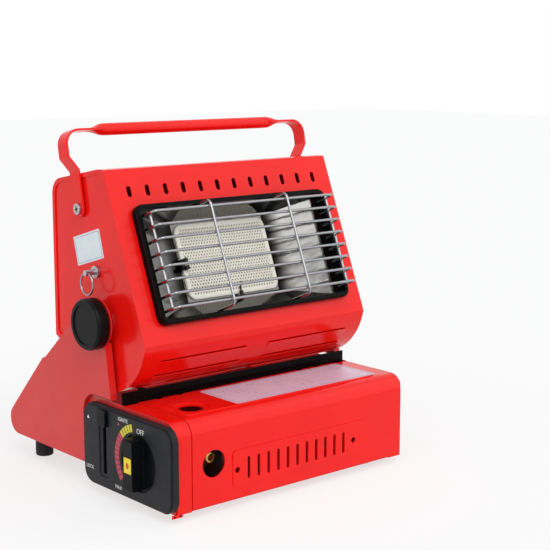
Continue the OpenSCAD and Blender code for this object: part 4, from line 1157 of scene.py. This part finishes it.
@dataclass
class Burner(SubAssembly):
    """Plaque, reflector and the parts behind them."""

    coats: Coats = (
        (MIRROR_STEEL, ("reflector", "plaque_frame")),
        (HOT_STEEL_AND_RECESS_SHADE, ("burner_box", "spark_electrode", "thermocouple")),
        (GALVANISED, ("mixing_tube",)), (CORDIERITE, ("ceramic_plaque",)))
    plaque_w: float = 104.5
    plaque_h: float = 70.0
    plaque_r: float = 8.0
    plaque_t: float = 8.0
    plaque_z: float = 38.0
    plaque_y: float = -27.9
    # Section of the raised border: the way in from the outline, and the height.
    rim_section: tuple[Pair, ...] = (
        (0.0, -0.8), (0.25, -0.25), (0.8, 0.0), (3.2, 0.0), (3.8, -0.25), (4.0, -0.7))
    rim_least_r: float = 3.0
    # The field of pits reaches a little under the border.
    field_inset: float = 3.0
    field_t: float = 7.5
    recess: float = 0.6
    # The real pits are about half as far apart. They are drawn this coarse to be seen.
    pit_pitch: float = 3.1
    cell_merge: float = 0.02
    pit_r: float = 0.78
    pit_floor_r: float = 0.546
    pit_depth: float = 1.6
    # Share of painted shade at a pit's rim and on its floor.
    pit_shade_share: Pair = (0.35, 1.0)
    crisp_angle: float = 30.0

    def build(self) -> None:
        """Makes the plaque with its field of pits."""
        plaque = Workpiece("plaque_tile")
        self.pits(plaque)
        self.rim(plaque)
        matrix = HEAD @ Matrix.Translation((0, self.plaque_y, self.plaque_z))
        matrix = matrix @ Matrix.Rotation(math.pi / 2, 4, "X")
        piece = plaque.finish(
            Body.HEAD, Slot.CERAMIC, self.shop.mix(CORDIERITE), matrix, self.crisp_angle)
        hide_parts("ceramic_plaque")

    def pits(self, plaque: Workpiece) -> None:
        """Adds the recessed field of six-sided pits, a slab closed behind, with shade painted into
        the pits.

        Args:
            plaque: The piece it is added to.
        """
        mesh = bmesh.new()
        pit_shade = mesh.verts.layers.float.new(PIT_SHADE_LAYER)
        w, h = self.plaque_w - 2 * self.field_inset, self.plaque_h - 2 * self.field_inset
        cell_r = self.pit_pitch / math.sqrt(3.0)
        row = cell_r * 1.5
        rows, columns = int(h / row / 2) + 1, int(w / self.pit_pitch / 2) + 1
        for j in range(-rows, rows + 1):
            shift = self.pit_pitch / 2 if j % 2 else 0.0
            for i in range(-columns, columns + 1):
                place = Vector((i * self.pit_pitch + shift, j * row, -self.recess))
                bmesh.ops.create_circle(
                    mesh, cap_ends=True, segments=6, radius=cell_r,
                    matrix=Matrix.Translation(place))
        pits = mesh.faces[:]
        for shrink, sink, shade in (
                (cell_r - self.pit_r, 0.0, self.pit_shade_share[0]),
                (self.pit_r - self.pit_floor_r, self.pit_depth, self.pit_shade_share[1])):
            bmesh.ops.inset_individual(
                mesh, faces=pits, thickness=shrink * math.cos(math.pi / 6), depth=-sink,
                use_even_offset=True)
            # Paints shade on the pits' rims and floors.
            for vert in {v for f in pits for v in f.verts}:
                vert[pit_shade] = shade
        bmesh.ops.remove_doubles(mesh, verts=mesh.verts, dist=self.cell_merge)
        for normal, reach in (((1, 0, 0), w / 2), ((0, 1, 0), h / 2)):
            for sign in (1, -1):
                side = Vector(normal) * sign
                bmesh.ops.bisect_plane(
                    mesh, geom=mesh.verts[:] + mesh.edges[:] + mesh.faces[:],
                    plane_co=side * reach, plane_no=side, clear_outer=True)
        rim = [e for e in mesh.edges if e.is_boundary]
        made = bmesh.ops.extrude_edge_only(mesh, edges=rim)
        for vert in verts_of(made):
            vert.co.z = -self.field_t
        bmesh.ops.holes_fill(mesh, edges=[e for e in mesh.edges if e.is_boundary], sides=0)
        data = settle(mesh, "pits")
        plaque.mesh.from_mesh(data)
        bpy.data.meshes.remove(data)

    def rim(self, plaque: Workpiece) -> None:
        """Adds the smooth raised border around the field.

        Args:
            plaque: The piece it is added to.
        """
        first, last = self.rim_section[0][0], self.rim_section[-1][0]
        section = ((first, -self.plaque_t), *self.rim_section, (last, -self.plaque_t))
        plaque.hoop([(
            round_corners(
                self.plaque_w - 2 * inset, self.plaque_h - 2 * inset,
                max(self.plaque_r - inset, self.rim_least_r)), z)
            for inset, z in section])


@dataclass
class LockPin(SubAssembly):
    """Lock pin with its bush, spring and ring."""

    coats: Coats = (
        (ZINC_PLATE, ("lock_bush", "lock_pin", "lock_spring")), (CHROME, ("pull_ring",)))
    coil_wire: float = 0.45
    coil_turns: float = 6.0
    coil_steps: int = 120
    coil_keep: float = 0.2

    def build(self) -> None:
        """Winds the spring between the ends of the CAD spring, and hides that one."""
        low, high = (Vector(corner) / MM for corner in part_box("lock_spring"))
        middle = (low + high) / 2
        radius = (high.z - low.z) / 2 - self.coil_wire
        length = high.x - low.x - 2 * self.coil_wire
        rings = []
        for i in range(self.coil_steps + 1):
            share = i / self.coil_steps
            a = math.tau * self.coil_turns * share
            out = Vector((0.0, math.cos(a), math.sin(a)))
            along = Vector((
                length / (math.tau * self.coil_turns), -radius * math.sin(a),
                radius * math.cos(a))).normalized()
            start = Vector((low.x + self.coil_wire + length * share, middle.y, middle.z))
            turn = Matrix((out, along.cross(out), along)).transposed().to_4x4()
            rings.append(
                Matrix.Translation(start + out * radius) @ turn
                @ Matrix.Diagonal((self.coil_wire, self.coil_wire, 1.0, 1.0)))
        coil = Workpiece("lock_coil")
        coil.sleeve(rings, 8)
        piece = coil.finish(
            Body.HEAD, Slot.PLATED_STEEL, self.shop.mix(ZINC_PLATE), Matrix.Scale(MM, 4))
        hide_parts("lock_spring")
        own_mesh(piece)


@dataclass
class CarryHandle(SubAssembly):
    """Folding handle: strap and rolled grip."""

    coats: Coats = ((RED_ENAMEL, ("handle_strap", "handle_grip")),)
    # Rings of a rolled end: distance from the middle, half width and half height.
    roll: tuple[Triple, ...] = (
        (92.0, 5.3, 5.3), (95.0, 5.6, 5.5), (98.0, 5.95, 5.1), (101.0, 6.35, 4.1),
        (104.0, 6.8, 2.9), (107.0, 7.2, 1.9), (109.5, 7.45, 1.25))
    roll_height: float = 69.0

    def build(self) -> None:
        """Rolls the grip's ends down to the flat strap."""
        for name, side in (("left_rolled_end", -1), ("right_rolled_end", 1)):
            end = Workpiece(name)
            end.sleeve([
                Matrix.Translation((side * x, 0.0, self.roll_height))
                @ Matrix.Rotation(math.pi / 2, 4, "Y") @ Matrix.Diagonal((high, wide, 1.0, 1.0))
                for x, wide, high in self.roll])
            end.finish(Body.HANDLE, Slot.RED_PAINT, self.shop.mix(RED_ENAMEL), HANDLE)


@dataclass
class TiltKnobs(SubAssembly):
    """The two clamp knobs and their studs."""

    coats: Coats = (
        (BLACK_PHENOLIC, ("left_tilt_knob", "right_tilt_knob")),
        (ZINC_PLATE, ("left_knob_stud", "right_knob_stud")))
    # Pressed knobs are well rounded.
    edges: Edges = ((0.8, ("left_tilt_knob", "right_tilt_knob")),)


# ---- studio ----


@dataclass(frozen=True)
class Lamp:
    """A distant soft lamp: the side it shines from, its width in degrees and its strength."""

    name: str
    place: Triple
    width: float
    strength: float


@dataclass
class Studio:
    """Pale floor, soft lamps and the camera."""

    eye_mm: Triple = (-746.1, -975.38, 383.96)
    azimuth: float = -40.507
    down: float = 9.498
    lens: float = 86.36
    sensor: float = 36.0
    reach: float = 50.0
    floor_reach: float = 6.0
    floor_hex: str = "F4F5F6"
    floor_glow: float = 0.68
    world_level: float = 0.5
    lamps: tuple[Lamp, ...] = (
        Lamp("key_lamp", (-0.6, -1.6, 1.9), 45.0, 1.55),
        Lamp("side_lamp", (-2.2, -0.3, 1.1), 60.0, 0.4),
        Lamp("right_lamp", (1.9, -1.4, 1.3), 60.0, 0.5))
    lamp_aim: Triple = (0.0, 0.0, 0.15)

    def camera(self) -> None:
        """Sets the camera at the viewing angle, with no shift and no depth of field."""
        data = bpy.data.cameras.new("camera")
        data.lens = self.lens
        data.sensor_width = self.sensor
        data.clip_end = self.reach
        obj = add_object("camera", data)
        obj.location = Vector(self.eye_mm) * MM
        obj.rotation_euler = (
            math.radians(90.0 - self.down), 0.0, math.radians(self.azimuth))
        bpy.context.scene.camera = obj

    def floor(self) -> None:
        """Lays the pale floor."""
        mesh = bmesh.new()
        bmesh.ops.create_grid(mesh, x_segments=8, y_segments=8, size=self.floor_reach)
        data = settle(mesh, "floor")
        obj = add_object("floor", data)
        material = bpy.data.materials.new("studio_floor")
        tree = empty_tree(material)
        output = add_node(tree, "OutputMaterial")
        matt = add_node(tree, "BsdfDiffuse", {"Color": linear(self.floor_hex)})
        glow = add_node(tree, "Emission", {"Color": WHITE, "Strength": 1.0})
        share = add_node(tree, "Math", {
            0: self.direct_rays(tree), 1: self.floor_glow}, operation="MULTIPLY")
        mix = add_node(tree, "MixShader", {
            0: share.outputs[0], 1: matt.outputs[0], 2: glow.outputs[0]})
        tree.links.new(mix.outputs[0], output.inputs["Surface"])
        data.materials.append(material)

    def direct_rays(self, tree: Tree) -> Socket:
        """Picks out the rays by which the stage itself is seen.

        Args:
            tree: The material's or the world's node tree.

        Returns:
            A socket that is 1 for camera, mirror and glass rays, and 0 for the rest.
        """
        rays = add_node(tree, "LightPath")
        shiny = add_node(tree, "Math", {
            0: rays.outputs["Is Glossy Ray"], 1: rays.outputs["Is Transmission Ray"],
        }, operation="MAXIMUM")
        return add_node(tree, "Math", {
            0: rays.outputs["Is Camera Ray"], 1: shiny.outputs[0],
        }, operation="MAXIMUM").outputs[0]

    def world(self) -> None:
        """Fills the room with soft light and shows white behind the object."""
        world = bpy.data.worlds.new("studio")
        bpy.context.scene.world = world
        tree = empty_tree(world)
        output = add_node(tree, "OutputWorld")
        fill = add_node(tree, "Background", {"Color": WHITE, "Strength": self.world_level})
        white = add_node(tree, "Background", {"Color": WHITE, "Strength": 1.0})
        mix = add_node(tree, "MixShader", {
            0: self.direct_rays(tree), 1: fill.outputs[0], 2: white.outputs[0]})
        tree.links.new(mix.outputs[0], output.inputs["Surface"])

    def hang(self, lamp: Lamp) -> None:
        """Hangs one lamp, facing the heater.

        Args:
            lamp: The lamp.
        """
        data = bpy.data.lights.new(lamp.name, "SUN")
        data.angle = math.radians(lamp.width)
        data.energy = lamp.strength
        obj = add_object(lamp.name, data)
        obj.location = lamp.place
        aim = Vector(self.lamp_aim) - Vector(lamp.place)
        obj.rotation_euler = aim.to_track_quat("-Z", "Y").to_euler()

    def build(self) -> None:
        """Sets the whole stage."""
        self.camera()
        self.floor()
        self.world()
        for lamp in self.lamps:
            self.hang(lamp)
        bpy.context.scene.view_settings.view_transform = "Standard"


def main() -> None:
    """Dresses the heater, group by group, and sets the stage."""
    logging.basicConfig(level=logging.INFO, format="%(message)s")
    shop = PaintShop()
    Studio().build()
    for group in (
            FrontBox, SidePlates, ControlPanel, GasTrain, TiltingHead, Burner, LockPin,
            CarryHandle, TiltKnobs):
        LOG.info("group %s", group.__name__)
        group(shop).dress()
    bpy.context.view_layer.update()


if __name__ == "__main__":
    main()
